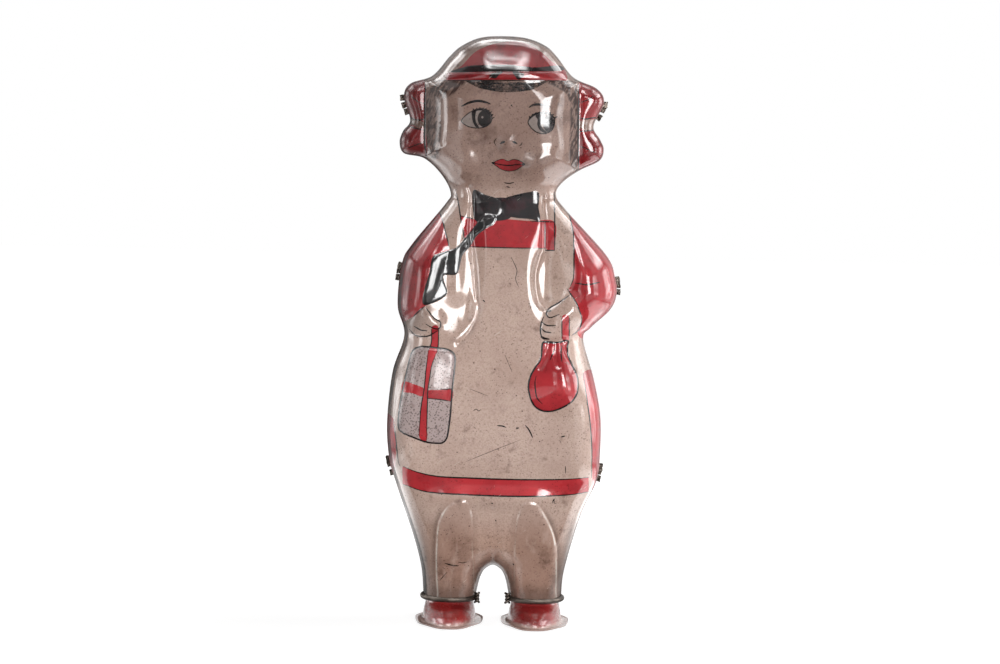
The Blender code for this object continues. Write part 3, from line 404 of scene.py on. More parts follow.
frontDark = {
    "capBand": [
        (450, 72.2), (468, 66.1), (480.6, 65.2), (507, 64.5), (535.3, 67.3), (558.5, 65.4), (563, 70.5),
        (535, 71.4), (507, 71.7), (480, 71.8),
    ],
    "bandWingLeft": [(489.5, 76.5), (492, 73.4), (499, 71.8), (503, 72), (499.5, 74.6), (495.3, 78.4)],
    "bandWingRight": [(524, 76), (522.5, 73), (517, 71.8), (512.5, 72), (514.5, 75.4), (518.5, 79.8)],
    "neckBowLeft": [
        (473.6, 190), (485, 194.5), (499, 200), (501, 213), (488, 219), (476, 221.5), (472.5, 206),
    ],
    "neckBowRight": [
        (503, 200), (515, 195), (529, 192), (536, 191.3), (539.5, 195), (538.5, 207), (540, 220), (529, 219),
        (515, 217.7), (503, 214),
    ],
    "neckKnot": [(493, 198.5), (510, 198.5), (511, 206), (510, 218), (494, 220), (492, 207)],
    "sash": [
        (484, 214), (496, 216), (494, 224), (487, 228), (476.6, 236), (470.5, 246.2), (462.3, 256),
        (457, 273.8), (443.5, 276), (447, 293.2), (434.8, 302.3), (424, 304.9), (422.6, 297.2), (426, 284),
        (429.7, 271.7), (432.8, 257), (444, 251.5), (456, 247.5), (465, 238), (474, 227),
    ],
    "leftPupil": ovalMark(484.3, 118.7, 6.7, 8.4),
    "rightPupil": ovalMark(548.8, 123.6, 5.6, 8.6),
    "leftIris": [
        (472, 111.4), (476.4, 110), (475.6, 114), (475.4, 118), (476.2, 122.4), (479.2, 127.6), (476, 127.2),
        (473.3, 123), (472.1, 118),
    ],
    "rightIris": [
        (535.4, 115.6), (541.6, 113.4), (541.2, 118), (541, 124), (542.8, 128.6), (547.6, 133), (543, 132.6),
        (539, 129), (537.2, 124), (537.6, 119.4),
    ],
}
sparkles = {"left": ovalMark(482.4, 117.2, 1.1, 1.3, 8), "right": ovalMark(546.6, 120.4, 1.1, 1.3, 8)}
frontPale = {
    "leftEye": [
        (461.4, 121.2), (465.5, 115.8), (471.5, 111.6), (479, 109.8), (486.5, 110.6), (491.4, 115.4),
        (491.2, 121.6), (487.4, 125.6), (481, 127.9), (473.5, 127.8), (466.8, 125.8),
    ],
    "rightEye": [
        (528.3, 123.6), (530, 118), (535.3, 114.6), (542.3, 113.2), (549.3, 114.2), (554.2, 118.4),
        (553.8, 126.6), (549.4, 132), (542.6, 133.7), (534.6, 131),
    ],
}
frontParcel = {
    "parcel": [
        (420.8, 346.7), (412.1, 352), (407.2, 369.5), (402.9, 390), (399.1, 409.6), (398.2, 425.9),
        (402.4, 432.4), (414.3, 437.8), (426.2, 442), (436, 443.2), (442.5, 442.7), (446.8, 437.8),
        (449, 425.9), (450.6, 411.8), (452.2, 390), (454.4, 370.6), (455, 357.5), (452.2, 352), (445.7, 349),
        (438, 348),
    ],
}
frontHair = {
    "left": [
        (446.9, 81.3), (465.2, 81.3), (456.7, 91.1), (448.3, 96.7), (441.3, 102.3), (440.6, 113.6),
        (441.3, 126.2), (440.6, 141.6), (439.2, 157.1), (428.7, 155.7), (426, 133.2), (426, 113.6),
        (426, 96.7), (432.9, 86),
    ],
    "right": [
        (545, 81), (566, 81), (577.4, 88), (577.8, 113.6), (577.5, 133.2), (577.8, 169.7), (571.1, 165.5),
        (569, 147.2), (570.4, 119.2), (568, 97), (558, 88),
    ],
}
hands = {
    "right": [
        (570, 294.5), (559.3, 302.4), (549.5, 308.2), (546.3, 313.1), (543.7, 317), (541.4, 322.5),
        (540.4, 329.6), (541, 335), (543, 339), (549, 341), (560, 340), (570, 339), (577, 331), (581.6, 321),
        (581.6, 315.4), (577.1, 306.4),
    ],
    "left": [
        (413.4, 316.6), (424.6, 306.4), (433.8, 317.7), (440.2, 322), (440.6, 327.5), (437, 331), (428, 336),
        (416, 336), (408, 328),
    ],
}
# Line weight in millimetres, then the lines
inkLines = {
    "brows": (0.85, [
        [(461.6, 106.2), (469, 102.8), (477.6, 100.9), (484.8, 102.1), (490.4, 104)],
        [(529, 107.3), (533.9, 104.9), (540.9, 104.5), (550, 106.8)],
    ]),
    "nostrils": (0.75, [
        [(500.2, 143.5), (502.6, 142.3), (505.2, 141.6)], [(512.6, 141.6), (514.8, 142.3), (517, 143.5)],
        [(511, 105), (512, 105.6)],
    ]),
    "noseSides": (0.28, [
        [(496.7, 138.1), (494.3, 141.6), (496, 145.8)], [(519.2, 145.8), (521.4, 144.6), (522, 142.4)],
    ]),
    "mouthEnds": (0.8, [[(491.8, 162.7), (495, 163.4)], [(521.8, 164.2), (525, 164.4)]]),
    "mouth": (0.4, [
        [(494.5, 163.2), (501.6, 164.8), (508.7, 165.5), (515.7, 164.8), (523.5, 164.2)],
        [(504, 182.6), (509, 183.4), (514, 182.4)], [(506.4, 186.6), (510, 187.4)],
    ]),
    "lids": (0.8, [
        [(471.5, 111.2), (479.2, 109.4), (486.2, 110.2), (491.6, 115)],
        [(528.6, 120.4), (531, 117), (535.3, 114.2), (542.3, 112.8), (549.3, 113.8), (554, 117.8)],
    ]),
    "underBrim": (0.4, [[(432, 81.6), (447, 80.6), (507, 80.4), (566, 81), (576, 82)]]),
    "bowEdges": (0.7, [
        [(425.5, 84), (425, 100), (425, 120), (424.5, 140), (427, 160)],
        [(578.3, 84), (578.6, 100), (578.3, 125), (578.3, 150), (578.6, 172)],
    ]),
    "bowKnots": (0.45, [
        [(425, 119.5), (417, 120), (409, 117)], [(425, 130.5), (417, 128.6), (408, 126)],
        [(578.5, 118), (586, 119), (597, 117)], [(578.5, 131.6), (586, 131), (594, 130)],
    ]),
    "lobeFolds": (0.35, [
        [(424, 104), (417, 101), (411, 96)], [(424, 142), (416, 145), (408, 148)],
        [(579, 103), (587, 100), (594, 96)], [(579, 146), (587, 149), (596, 153)],
    ]),
    "straps": (0.5, [
        [(456.2, 193.2), (458.8, 205.4), (460.3, 215.6), (462.9, 229.9), (464.4, 239.1), (466, 246.7)],
        [(438.5, 207), (439.9, 213.1), (442.4, 219.7), (445, 230.9), (448.1, 242.1), (449.1, 248.3)],
        [(554, 192), (554.6, 210), (554.7, 230), (554.6, 250.5)],
        [(567, 206), (571.5, 224.3), (573.6, 236), (574, 258), (573.6, 276.8), (570.5, 286)],
    ]),
    "yokeEdges": (0.45, [
        [(464.4, 246.5), (505, 247.7), (544.5, 248.3)], [(545, 222), (545.2, 250.2)],
        [(545, 250.4), (554.5, 250.4)], [(460.5, 216), (474, 219)], [(530, 221), (554.5, 222)],
    ]),
    "cuffs": (0.5, [
        [(567.4, 289.1), (571.5, 295.2), (576.6, 303.4), (579.7, 311.5), (581.8, 317)],
        [(413.4, 316.6), (419, 311), (424.6, 306.4)], [(575, 283), (588, 284.5), (600, 282)],
    ]),
    "rightHand": (0.5, [
        [(570, 294.8), (559.3, 302.4), (549.5, 308.2), (546.3, 313.1), (547.7, 316.3), (550.8, 317.5),
         (559.3, 314.2)],
        [(543.7, 316.7), (541.4, 322.5), (540.4, 329.6), (541, 335), (542.8, 338.6), (548.6, 339.4)],
        [(541.4, 321.6), (546.8, 325.2), (555.7, 325.4)], [(541, 327.9), (545, 331.4), (551.3, 332.6)],
        [(541, 335.9), (545, 338.1), (549.5, 339)], [(548, 311.6), (551, 310.4)],
        [(581.6, 317), (581.6, 321), (578.9, 329.6), (571.8, 335.4)],
    ]),
    "leftHand": (0.5, [
        [(425.6, 307.4), (433.8, 317.7), (439.9, 321.7), (440.4, 326.8), (436.8, 328.9), (430.7, 326.8),
         (425.6, 323.8)],
        [(409, 329), (416, 335.5), (428, 336), (437, 331)], [(414, 326), (421, 330), (427, 330.4)],
    ]),
    "purse": (0.45, [
        [(536.1, 376.1), (535, 382.3), (535.6, 391.3), (537.4, 398.4), (542.3, 403.8)],
        [(569.2, 317.5), (569.2, 339)], [(561.8, 318), (562, 339)], [(543, 342.6), (556, 343), (568, 340.4)],
        [(556, 345), (553, 353), (550, 360)], [(562, 345), (561, 353), (562, 362)],
    ]),
    "parcel": (0.4, [
        [(428.4, 351), (426.2, 368.4), (424, 390), (420.8, 409.6), (419.2, 436)],
        [(436, 353), (431.6, 366), (429.5, 379), (427.8, 390), (427.4, 405), (426.9, 422), (426.6, 441)],
        [(428, 398.2), (440, 399.4), (451.2, 401.2)], [(440, 389.4), (452.4, 388.8)],
        [(431.6, 328), (431.4, 342), (428, 352)], [(438.5, 328), (438.2, 345), (436.6, 353)],
    ]),
    "apronEdge": (0.45, [
        [(393.4, 420), (395.8, 438.9), (398.2, 461), (400, 466)],
        [(583.2, 373), (586, 392), (588.3, 408), (590.3, 424), (592, 450), (591.5, 478)],
    ]),
    "hemEdges": (0.55, [
        [(403, 466.4), (417.5, 472.2), (439.2, 476.6), (471.8, 478.2), (505, 479.4), (540, 479.8),
         (570, 479.2), (588.6, 477.4)],
        [(403, 484), (406.7, 485.5), (428.4, 492), (471.8, 494.9), (505, 496.2), (540, 496.2), (570, 494.7),
         (588.6, 491.8)],
    ]),
    "scratches": (0.16, [
        [(465, 462), (492, 451), (520, 440)], [(470, 389), (488, 396)], [(505, 355), (512, 372)],
    ]),
    "nicks": (0.5, [
        [(497.1, 425.6), (502, 426), (506.1, 427.4)], [(525.3, 425.4), (529, 430), (532.7, 437.6)],
        [(516, 428.6), (519, 427.8)], [(483, 300), (485, 302)], [(561, 437), (565, 436)],
        [(444.9, 563), (452, 565), (458.4, 565.6)], [(513, 563.6), (514, 565.2)],
        [(495.4, 520.6), (496.2, 521.4)], [(491, 503), (493, 503.6)],
    ]),
    "cracks": (0.26, [
        [(511, 257), (514, 263), (517, 271), (515.6, 279), (518.6, 287)],
        [(473.4, 410.8), (476, 409), (478.6, 411), (481, 409.4)], [(565.4, 466), (565.6, 473.6)],
        [(440, 580), (443, 576.4), (447.3, 571.7)], [(458.4, 562), (463, 562.6), (467, 561.6)],
        [(552, 504), (553, 500.6), (554.4, 499), (554, 503), (556.4, 503.4)],
        [(529, 303), (531, 306), (530, 309)],
    ]),
}
outlinedFills = {
    "eyes": (0.35, [frontPale["leftEye"], frontPale["rightEye"]]),
    "lips": (0.25, [frontRed["lips"]]),
    "bags": (0.6, [frontRed["purse"], frontParcel["parcel"]]),
}
fringe = {
    "strands": 11,
    "top": [(466, 81), (507, 80.6), (546, 81)],
    "bottom": [(466, 82), (479, 88.3), (493, 91.1), (507, 92.2), (521, 91.1), (532.5, 89), (546, 82)],
    "weight": 0.20,
    "knots": 13,
    "ripple": 0.5,
    "rippleTurn": 0.9,
    "firstShare": 0.1,
}
lashes = {
    "count": 9,
    "roots": [
        [(474, 110.8), (480, 109.6), (486.2, 110.6), (490.4, 114), (491.4, 119)],
        [(530, 118.4), (535.3, 114.6), (542.3, 113.2), (549.3, 114.2), (554.2, 118.4)],
    ],
    "firstTip": (-1.0, -2.4),
    "lastTip": (3.2, -2.0),
    "weight": 0.42,
    "rootStep": 0.5,
}
# Print: lengths in millimetres, and the share by which the ends of lines taper
printing = {"step": 0.4, "edge": 0.16, "reach": 2.0, "seamReach": 6.0, "taper": 0.6, "backFold": 0.45}
pixelStep = printing["step"] / photo["mmPerPixel"]


def addFringe():
    x = np.linspace(fringe["top"][0][0], fringe["top"][-1][0], fringe["knots"])
    top = np.interp(x, *np.array(fringe["top"]).T)
    bottom = np.interp(x, *np.array(fringe["bottom"]).T)
    ripple = fringe["ripple"] * np.sin(x * fringe["rippleTurn"])
    shares = np.linspace(fringe["firstShare"], 1, fringe["strands"])
    lines = [np.column_stack([x, top + (bottom - top) * share + ripple]) for share in shares]
    inkLines["fringe"] = (fringe["weight"], lines)


def addLashes():
    lines = []
    first, last = np.array(lashes["firstTip"]), np.array(lashes["lastTip"])
    for roots in lashes["roots"]:
        line = resample(np.array(roots), lashes["rootStep"])
        for share in np.linspace(0, 1, lashes["count"]):
            root = line[round(share * (len(line) - 1))]
            lines.append([root, root + (first + (last - first) * share)])
    inkLines["lashes"] = (lashes["weight"], lines)


addFringe()
addLashes()


def castLoop(pixels):
    return castOnFront(smoothLine(pixels, pixelStep, True)[:-1])


def castLine(pixels):
    return castOnFront(openLine(pixels, pixelStep))


def castAll(outlines):
    return {name: castLoop(pixels) for name, pixels in outlines.items()}


frontLayers = {
    "red": castAll(frontRed),
    "dark": castAll(frontDark),
    "pale": castAll(frontPale),
    "parcel": castAll(frontParcel),
    "hair": castAll(frontHair),
    "sparkle": castAll(sparkles),
}
handLoops = castAll(hands)
frontInk = [(castLine(line), weight) for weight, lines in inkLines.values() for line in lines]
frontInk += [(closedLine(castLoop(pixels)), weight)
             for weight, outlines in outlinedFills.values() for pixels in outlines]
areas = sum(len(loops) for loops in frontLayers.values())
print("front artwork cast:", areas, "areas,", len(frontInk), "lines")

# Artwork of the back half, which the photograph doesn't show, in millimetres. The bow is drawn on its left
backBow = {
    "strap": [(-22, 143.5), (-17, 143.8), (4, 112), (1, 109.5)],
    "loop": [(0, 108), (-6, 114), (-13, 116.6), (-18.5, 113), (-19, 106), (-14, 101.6), (-7, 103.4)],
    "tail": [(-1, 106), (-5, 98), (-12, 88), (-16.5, 84.5), (-9.5, 83), (-5, 90), (-0.4, 100)],
}


def mirrored(points):
    return [(-x, z) for x, z in points]


backArt = {
    "red": {
        "cap": [(-40, 189), (-20, 188), (0, 187.6), (20, 188), (40, 189), (40, 210), (-40, 210)],
        "brim": [
            (-40, 184.4), (-20, 183.6), (0, 183.4), (20, 183.6), (40, 184.4), (40, 187), (20, 186.4),
            (0, 186.2), (-20, 186.4), (-40, 187),
        ],
        "leftUpperLobe": [(-27, 186), (-27, 174.5), (-33, 174), (-40, 176), (-40, 187)],
        "leftLowerLobe": [(-27, 170.5), (-27, 159), (-40, 158), (-40, 170), (-33, 171)],
        "rightUpperLobe": [(27, 186), (27, 174), (33, 173.4), (40, 175), (40, 187)],
        "rightLowerLobe": [(27, 170), (27, 157), (40, 156), (40, 169), (33, 170.4)],
        "dress": [
            (-45, 147), (-20, 147.5), (0, 146.5), (20, 147.5), (45, 147), (45, 47), (30, 46), (0, 43.5),
            (-30, 46), (-45, 47),
        ],
    },
    "dark": {
        "capBand": [
            (-40, 187), (-20, 186.4), (0, 186.2), (20, 186.4), (40, 187), (40, 189), (20, 188), (0, 187.6),
            (-20, 188), (-40, 189),
        ],
        "collar": [
            (-24, 148.5), (-12, 147.2), (0, 146.6), (12, 147.2), (24, 148.5), (24, 144.5), (12, 143.2),
            (0, 142.6), (-12, 143.2), (-24, 144.5),
        ],
        "hemBand": [
            (-45, 54), (-20, 51.6), (0, 50.8), (20, 51.6), (45, 54), (45, 52.4), (20, 50), (0, 49.2),
            (-20, 50), (-45, 52.4),
        ],
    },
    "hair": {
        "locks": [
            (-26.6, 184), (0, 183.4), (26.6, 184), (26.6, 160), (21, 154), (16, 157.5), (11, 152.6),
            (5.5, 156.6), (0, 151.8), (-5.5, 156.6), (-11, 152.6), (-16, 157.5), (-21, 154), (-26.6, 160),
        ],
    },
    "pale": {
        "leftStrap": backBow["strap"],
        "rightStrap": mirrored(backBow["strap"]),
        "waistband": [
            (-45, 113), (-15, 111.4), (0, 111), (15, 111.4), (45, 113), (45, 106.5), (15, 105), (0, 104.6),
            (-15, 105), (-45, 106.5),
        ],
        "leftLoop": backBow["loop"],
        "rightLoop": mirrored(backBow["loop"]),
        "leftTail": backBow["tail"],
        "rightTail": mirrored(backBow["tail"]),
        "knot": [(-3.6, 111), (3.6, 111), (4.2, 108), (3.6, 104.4), (-3.6, 104.4), (-4.2, 108)],
    },
}
backInkWeights = {
    "leftStrap": 0.5, "rightStrap": 0.5, "waistband": 0.5, "leftLoop": 0.6, "rightLoop": 0.6, "leftTail": 0.6,
    "rightTail": 0.6, "knot": 0.6,
}
backFolds = [
    [(-3.6, 109), (-8, 110.6), (-12, 111.4)], [(3.6, 109), (8, 110.6), (12, 111.4)],
    [(-3.6, 106.6), (-9, 106)], [(3.6, 106.6), (9, 106)], [(-26.8, 186), (-26.8, 158)],
    [(26.8, 186), (26.8, 157)], [(0, 146), (0, 114)],
]
backLayers = {layer: {name: smoothLine(points, printing["step"], True)[:-1] for name, points in areas.items()}
              for layer, areas in backArt.items()}
backLayers.update(parcel={}, sparkle={}, stocking={})
backLoops = backLayers["pale"]
backInk = [(closedLine(backLoops[name]), weight) for name, weight in backInkWeights.items()]
backInk += [(openLine(line, printing["step"]), printing["backFold"]) for line in backFolds]

# Crisp stamped relief over the broad swells. Pads are (outline, rise, width of the rounded edge);
# grooves are (line, depth, half width)
legOvals = castAll({
    "left": [
        (446, 507), (457, 501), (468, 502), (473, 519), (473.5, 548), (475, 575), (474, 606), (440, 606),
        (436.3, 590), (435.1, 563), (435.6, 543.6), (437.6, 524),
    ],
    "right": [
        (518, 513), (524, 502), (535, 503), (541.5, 509), (551.3, 526.5), (556.2, 543.6), (557.4, 563),
        (557, 588), (554, 606), (516, 606), (513, 576), (513.9, 543.6), (514.6, 529),
    ],
})
frontLayers["stocking"] = legOvals
faceLoop = castLoop([(444, 84), (441, 103), (441, 126), (440, 143), (446, 160), (460, 173), (482, 184),
                     (508, 189), (533, 185), (553, 176), (565, 164), (569, 147), (570, 119), (568, 92),
                     (562, 84)])
red, dark = frontLayers["red"], frontLayers["dark"]
reliefPads = {
    "front": [
        (red["brim"], 0.4, 0.8), (dark["neckBowLeft"], 0.15, 1.4), (dark["neckBowRight"], 0.15, 1.4),
        (dark["sash"], 0.2, 0.8), (red["leftSleeve"], 0.5, 3.0), (red["rightSleeve"], 0.7, 3.2),
        (handLoops["right"], 0.7, 1.8), (handLoops["left"], 0.6, 1.6), (red["purse"], 0.5, 2.6),
        (frontLayers["parcel"]["parcel"], 0.6, 1.6), (legOvals["left"], 0.55, 1.7),
        (legOvals["right"], 0.55, 1.7), (faceLoop, 0.3, 3.0),
    ],
    "back": [
        (backLoops["leftLoop"], 0.6, 3.0), (backLoops["rightLoop"], 0.6, 3.0),
        (backLoops["leftTail"], 0.4, 1.2), (backLoops["rightTail"], 0.4, 1.2), (backLoops["knot"], 0.4, 1.6),
        (backLayers["red"]["brim"], 0.4, 0.9), (backLayers["hair"]["locks"], 0.4, 1.5),
    ],
}
grooves = {
    "front": [
        (castLine([(468.5, 187), (471.5, 197), (471, 215.6), (470.5, 233), (473, 256.4), (475.1, 281.9),
                   (476.6, 299.3), (478.7, 307.4), (475.6, 320.7), (468.5, 333), (458, 344)]), 0.7, 0.7),
        (castLine([(543, 196), (543, 246), (540.9, 254.4), (535.8, 271.7), (535.8, 287), (538.9, 302.3),
                   (545, 308.5)]), 0.7, 0.7),
        (castLine([(549, 344), (546, 356), (540, 368)]), 0.5, 0.9),
        (castLine([(556, 344), (556, 354), (558, 366)]), 0.4, 0.8),
        (castLine([(563, 342), (566, 356), (573, 370)]), 0.5, 0.9),
        (castLine([(493, 512), (493.5, 530), (493, 556)]), 0.8, 2.0),
        (castLine([(508, 121), (505, 134), (498, 141)]), 0.12, 2.0),
        (castLine([(425, 84), (425, 120), (426, 160)]), 0.3, 1.2),
        (castLine([(578.5, 84), (578.5, 125), (578.5, 172)]), 0.3, 1.2),
    ],
    "back": [
        (smoothLine([(0, 32), (0, 24), (0, 21)], body["grooveStep"]), 0.6, 2.0),
        (smoothLine([(-30, 104), (0, 102.4), (30, 104)], body["grooveStep"]), 0.4, 1.6),
    ],
}


def fineRelief(points, distance, side):
    height = np.zeros(len(points))
    for loop, rise, edge in reliefPads[side]:
        t = np.clip(-signedDistance(points, loop, 1.0 + edge) / edge, 0, 1)
        height += rise * (1 - (1 - t) ** 2)
    for line, depth, halfWidth in grooves[side]:
        away = lineDistance(points, line, 4 * halfWidth)[0]
        height -= depth * np.exp(-(away / halfWidth) ** 2)
    return height * np.clip(distance / body["reliefFade"], 0, 1)


def depthOf(points, side):
    distance = seamDistance(points)
    return stampedDepth(points, distance, side) + fineRelief(points, distance, side)


def innerSkin(points, side):
    # A sheet's thickness inside the broad forms, and clear of the grooves
    distance = seamDistance(points)
    inside = body["innerClear"] * np.clip(distance / body["reliefFade"], 0, 1)
    for line, depth, halfWidth in grooves[side]:
        away = lineDistance(points, line, body["grooveReach"])[0] / (halfWidth + body["innerLattice"])
        inside = inside + body["grooveClear"] * depth * np.exp(-away ** 2)
    return stampedDepth(points, distance, side) - body["tin"] - inside


# Holes in the back half: the key's, and a slot for each ear of the motor plate
motorFit = {
    "windingZ": 78.0,
    "keyHoleR": 3.3,
    "keyHoleSides": 40,
    "slotNear": 18.9,
    "slotFar": 20.3,
    "slotHalf": 2.8,
    "earHeights": (62.0, 118.0),
}


def backHoles():
    radius = motorFit["keyHoleR"]
    turns = fullTurn(motorFit["keyHoleSides"])
    holes = [[(radius * math.cos(turn), motorFit["windingZ"] + radius * math.sin(turn)) for turn in turns]]
    for side in (-1, 1):
        for height in motorFit["earHeights"]:
            low, high = height - motorFit["slotHalf"], height + motorFit["slotHalf"]
            near, far = side * motorFit["slotNear"], side * motorFit["slotFar"]
            holes.append([(near, low), (far, low), (far, high), (near, high)])
    return [np.array(hole) for hole in holes]


def firstPerCell(points, cell):
    keys = np.floor(points / cell).astype(int)
    first = np.unique(keys, axis=0, return_index=True)[1]
    return points[np.sort(first)]


def clearOf(points, taken, cell):
    # Points with nothing taken in their own cell or one beside it
    low = np.minimum(points.min(axis=0), taken.min(axis=0)) - 2 * cell
    size = np.ceil((np.maximum(points.max(axis=0), taken.max(axis=0)) - low) / cell).astype(int) + 3
    filled = np.zeros(size, dtype=bool)
    at = np.floor((taken - low) / cell).astype(int)
    for i in (-1, 0, 1):
        for j in (-1, 0, 1):
            filled[at[:, 0] + i, at[:, 1] + j] = True
    at = np.floor((points - low) / cell).astype(int)
    return points[~filled[at[:, 0], at[:, 1]]]


def besideLine(line, offsets):
    run = np.gradient(line, axis=0)
    normal = np.column_stack([-run[:, 1], run[:, 0]])
    normal /= np.maximum(np.linalg.norm(normal, axis=1), 1e-9)[:, None]
    return np.vstack([line + normal * offset for offset in offsets])


def hexLattice(step):
    rows = []
    for number, height in enumerate(np.arange(body["legEnd"], body["crown"], step * math.sqrt(3) / 2)):
        line = np.arange(-rightReach - 1, rightReach + 1, step) + step / 2 * (number % 2)
        rows.append(np.column_stack([line, np.full(len(line), height)]))
    return np.vstack(rows)


def shellLoop():
    turns = [math.pi * i / body["legSteps"] for i in range(1, body["legSteps"])]
    ends = [[(middle - body["ankleR"] * math.cos(turn), body["legEnd"]) for turn in turns]
            for middle in (-body["legX"], body["legX"])]
    loop = np.vstack([seamOuter, ends[0], seamArch, ends[1]])
    parts = ((True, seamOuter), (False, turns), (True, seamArch), (False, turns))
    return loop, np.concatenate([np.full(len(part), seam) for seam, part in parts])


def triangulate(loop, inner, holes):
    edges = []
    first = len(loop)
    for hole in holes:
        edges += [(first + i, first + (i + 1) % len(hole)) for i in range(len(hole))]
        first += len(hole)
    flat = [Vector(p) for p in np.vstack([loop, *holes, inner])]
    verts, _, faces = delaunay_2d_cdt(flat, edges, [list(range(len(loop)))], 1, 1e-9)[:3]
    points = np.array([(v.x, v.y) for v in verts])
    faces = np.array([face for face in faces if len(face) == 3])
    middles = points[faces].mean(axis=1)
    keep = np.ones(len(faces), dtype=bool)
    for hole in holes:
        keep &= ~isInside(middles, hole)
    return points, faces[keep]


def outerPoints(loop, details, holes, lattice):
    end, clear = body["legEnd"], body["seamClear"]
    rows = np.vstack([besideLine(line, body["seamRows"]) for line in (seamOuter, seamArch)])
    rows = rows[isInside(rows, loop) & (rows[:, 1] > end + body["endClear"])]
    fine = firstPerCell(details, body["detailCell"])
    fine = fine[isInside(fine, loop)]
    fine = fine[seamDistance(fine, 2 * clear) > clear]
    grid = hexLattice(lattice)
    grid = grid[isInside(grid, loop)]
    grid = grid[(seamDistance(grid, 2 * clear) > clear) & (grid[:, 1] > end + lattice / 2)]
    grid = clearOf(grid, fine, lattice / 2)
    inner = np.vstack([rows, fine, grid])
    for hole in holes:
        inner = inner[signedDistance(inner, hole, 1.0) > body["holeClear"]]
    return inner


def printDetails(layers, ink):
    edge = printing["edge"]
    parts = [besideLine(line, (0.0, weight / 2 + edge, -weight / 2 - edge)) for line, weight in ink]
    for loops in layers.values():
        parts += [besideLine(loop, (0.0, edge, -edge)) for loop in loops.values()]
    return np.vstack(parts)


def reliefDetails(side):
    parts = [besideLine(line, [halfWidth * share for share in body["grooveRows"]])
             for line, depth, halfWidth in grooves[side]]
    for loop, rise, edge in reliefPads[side]:
        offsets = [edge * share for share in body["padRows"]]
        parts.append(besideLine(closedLine(loop), offsets + [-offset for offset in offsets[1:]]))
    return np.vstack(parts)


def inkDistance(points, ink):
    # Distance from the edge of the nearest inked line, whose ends taper
    reach = printing["reach"]
    best = np.full(len(points), reach)
    for line, weight in ink:
        low, high = line.min(axis=0) - reach, line.max(axis=0) + reach
        near = np.all((points > low) & (points < high), axis=1)
        if near.any():
            away, share = lineDistance(points[near], line, reach)
            closed = np.allclose(line[0], line[-1])
            taper = 1 if closed else 1 - printing["taper"] * np.abs(2 * share - 1) ** 3
            best[near] = np.minimum(best[near], away - weight / 2 * taper)
    return best


def unionDistance(points, loops):
    best = np.full(len(points), printing["reach"])
    for loop in loops.values():
        best = np.minimum(best, signedDistance(points, loop, printing["reach"]))
    return best


def printValues(points, layers, ink):
    values = {layer: unionDistance(points, loops) for layer, loops in layers.items()}
    values["ink"] = inkDistance(points, ink)
    values["seam"] = seamDistance(points, printing["seamReach"])
    return values


def hexColour(text):
    channels = [int(text[i:i + 2], 16) / 255 for i in (1, 3, 5)]
    linear = [c / 12.92 if c <= 0.04045 else ((c + 0.055) / 1.055) ** 2.4 for c in channels]
    return (*linear, 1)


# Short names of nodes: Blender's name, fixed settings, inputs in the order they are given, output
nodeKinds = {
    "noise": ("ShaderNodeTexNoise", {}, ("Vector", "Scale", "Detail", "Roughness"), "Fac"),
    "dots": ("ShaderNodeTexVoronoi", {}, ("Vector", "Scale"), "Distance"),
    "ramp": ("ShaderNodeMapRange", {"interpolation_type": "SMOOTHSTEP"},
             ("Value", "From Min", "From Max", "To Min", "To Max"), 0),
    "mix": ("ShaderNodeMix", {"data_type": "RGBA"}, (0, 6, 7), 2),
    "tint": ("ShaderNodeMix", {"data_type": "RGBA", "blend_type": "MULTIPLY"}, (0, 6, 7), 2),
    "stretch": ("ShaderNodeMapping", {"vector_type": "TEXTURE"}, ("Vector", "Scale", "Rotation"), 0),
    "bump": ("ShaderNodeBump", {}, ("Height", "Distance", "Strength", "Normal"), 0),
    "attribute": ("ShaderNodeAttribute", {}, (), "Fac"),
    "split": ("ShaderNodeSeparateXYZ", {}, (0,), None),
}
mathKinds = {
    "times": "MULTIPLY", "plus": "ADD", "minus": "SUBTRACT", "larger": "MAXIMUM", "smaller": "MINIMUM",
    "unsigned": "ABSOLUTE", "power": "POWER", "root": "SQRT",
}
for short, operation in mathKinds.items():
    nodeKinds[short] = ("ShaderNodeMath", {"operation": operation}, (0, 1), 0)


def setInputs(tree, node, inputs):
    for key, value in inputs.items():
        if isinstance(value, bpy.types.NodeSocket):
            tree.links.new(value, node.inputs[key])
        else:
            node.inputs[key].default_value = value


def addNode(tree, kind, *values, **settings):
    # Values fill a short-named node's inputs in order; a node by Blender's own name takes one dictionary
    blenderName, fixed, sockets, output = nodeKinds.get(kind, (kind, {}, (), None))
    node = tree.nodes.new(blenderName)
    for key, value in {**fixed, **settings}.items():
        setattr(node, key, value)
    setInputs(tree, node, values[0] if values and kind == blenderName else dict(zip(sockets, values)))
    return node.outputs if output is None else node.outputs[output]


def newMaterial(name):
    material = bpy.data.materials.new(name)
    material.use_nodes = True
    tree = material.node_tree
    add = partial(addNode, tree)
    finish = partial(setInputs, tree, tree.nodes["Principled BSDF"])
    return material, finish, add, add("ShaderNodeTexCoord")["Object"]


def blotches(add, coords, size, detail, roughness, *levels):
    # Noise ramped between levels; the largest blotch is size millimetres
    return add("ramp", add("noise", coords, 1 / (size * mm), detail, roughness), *levels)


# Offset-printed tinplate under clear varnish: inks end in crisp edges, the ground is speckled and yellowed
# Besides the inks and the ground, these tones give a painted shade for the head, a dark tone for dirt and
# painted shade, and a pale tone for chips and painted highlights
printed = {
    "cream": "#cbb1a4", "creamAged": "#ab8e81", "red": "#bf343a", "redDeep": "#9c282e", "dark": "#242122",
    "darkWorn": "#2b3130", "bowWorn": "#46292f", "pale": "#b3a9a3", "parcel": "#b09d9a", "ink": "#1c1718",
    "hairInk": "#3d2421", "chipAndHighlight": "#d9cfc3", "headShade": "#c9c1bf", "legTint": "#efe4dd", "shadeAndGrime": "#2a2624",
    "stocking": "#a88a7d", "stain": "#7b6257",
}
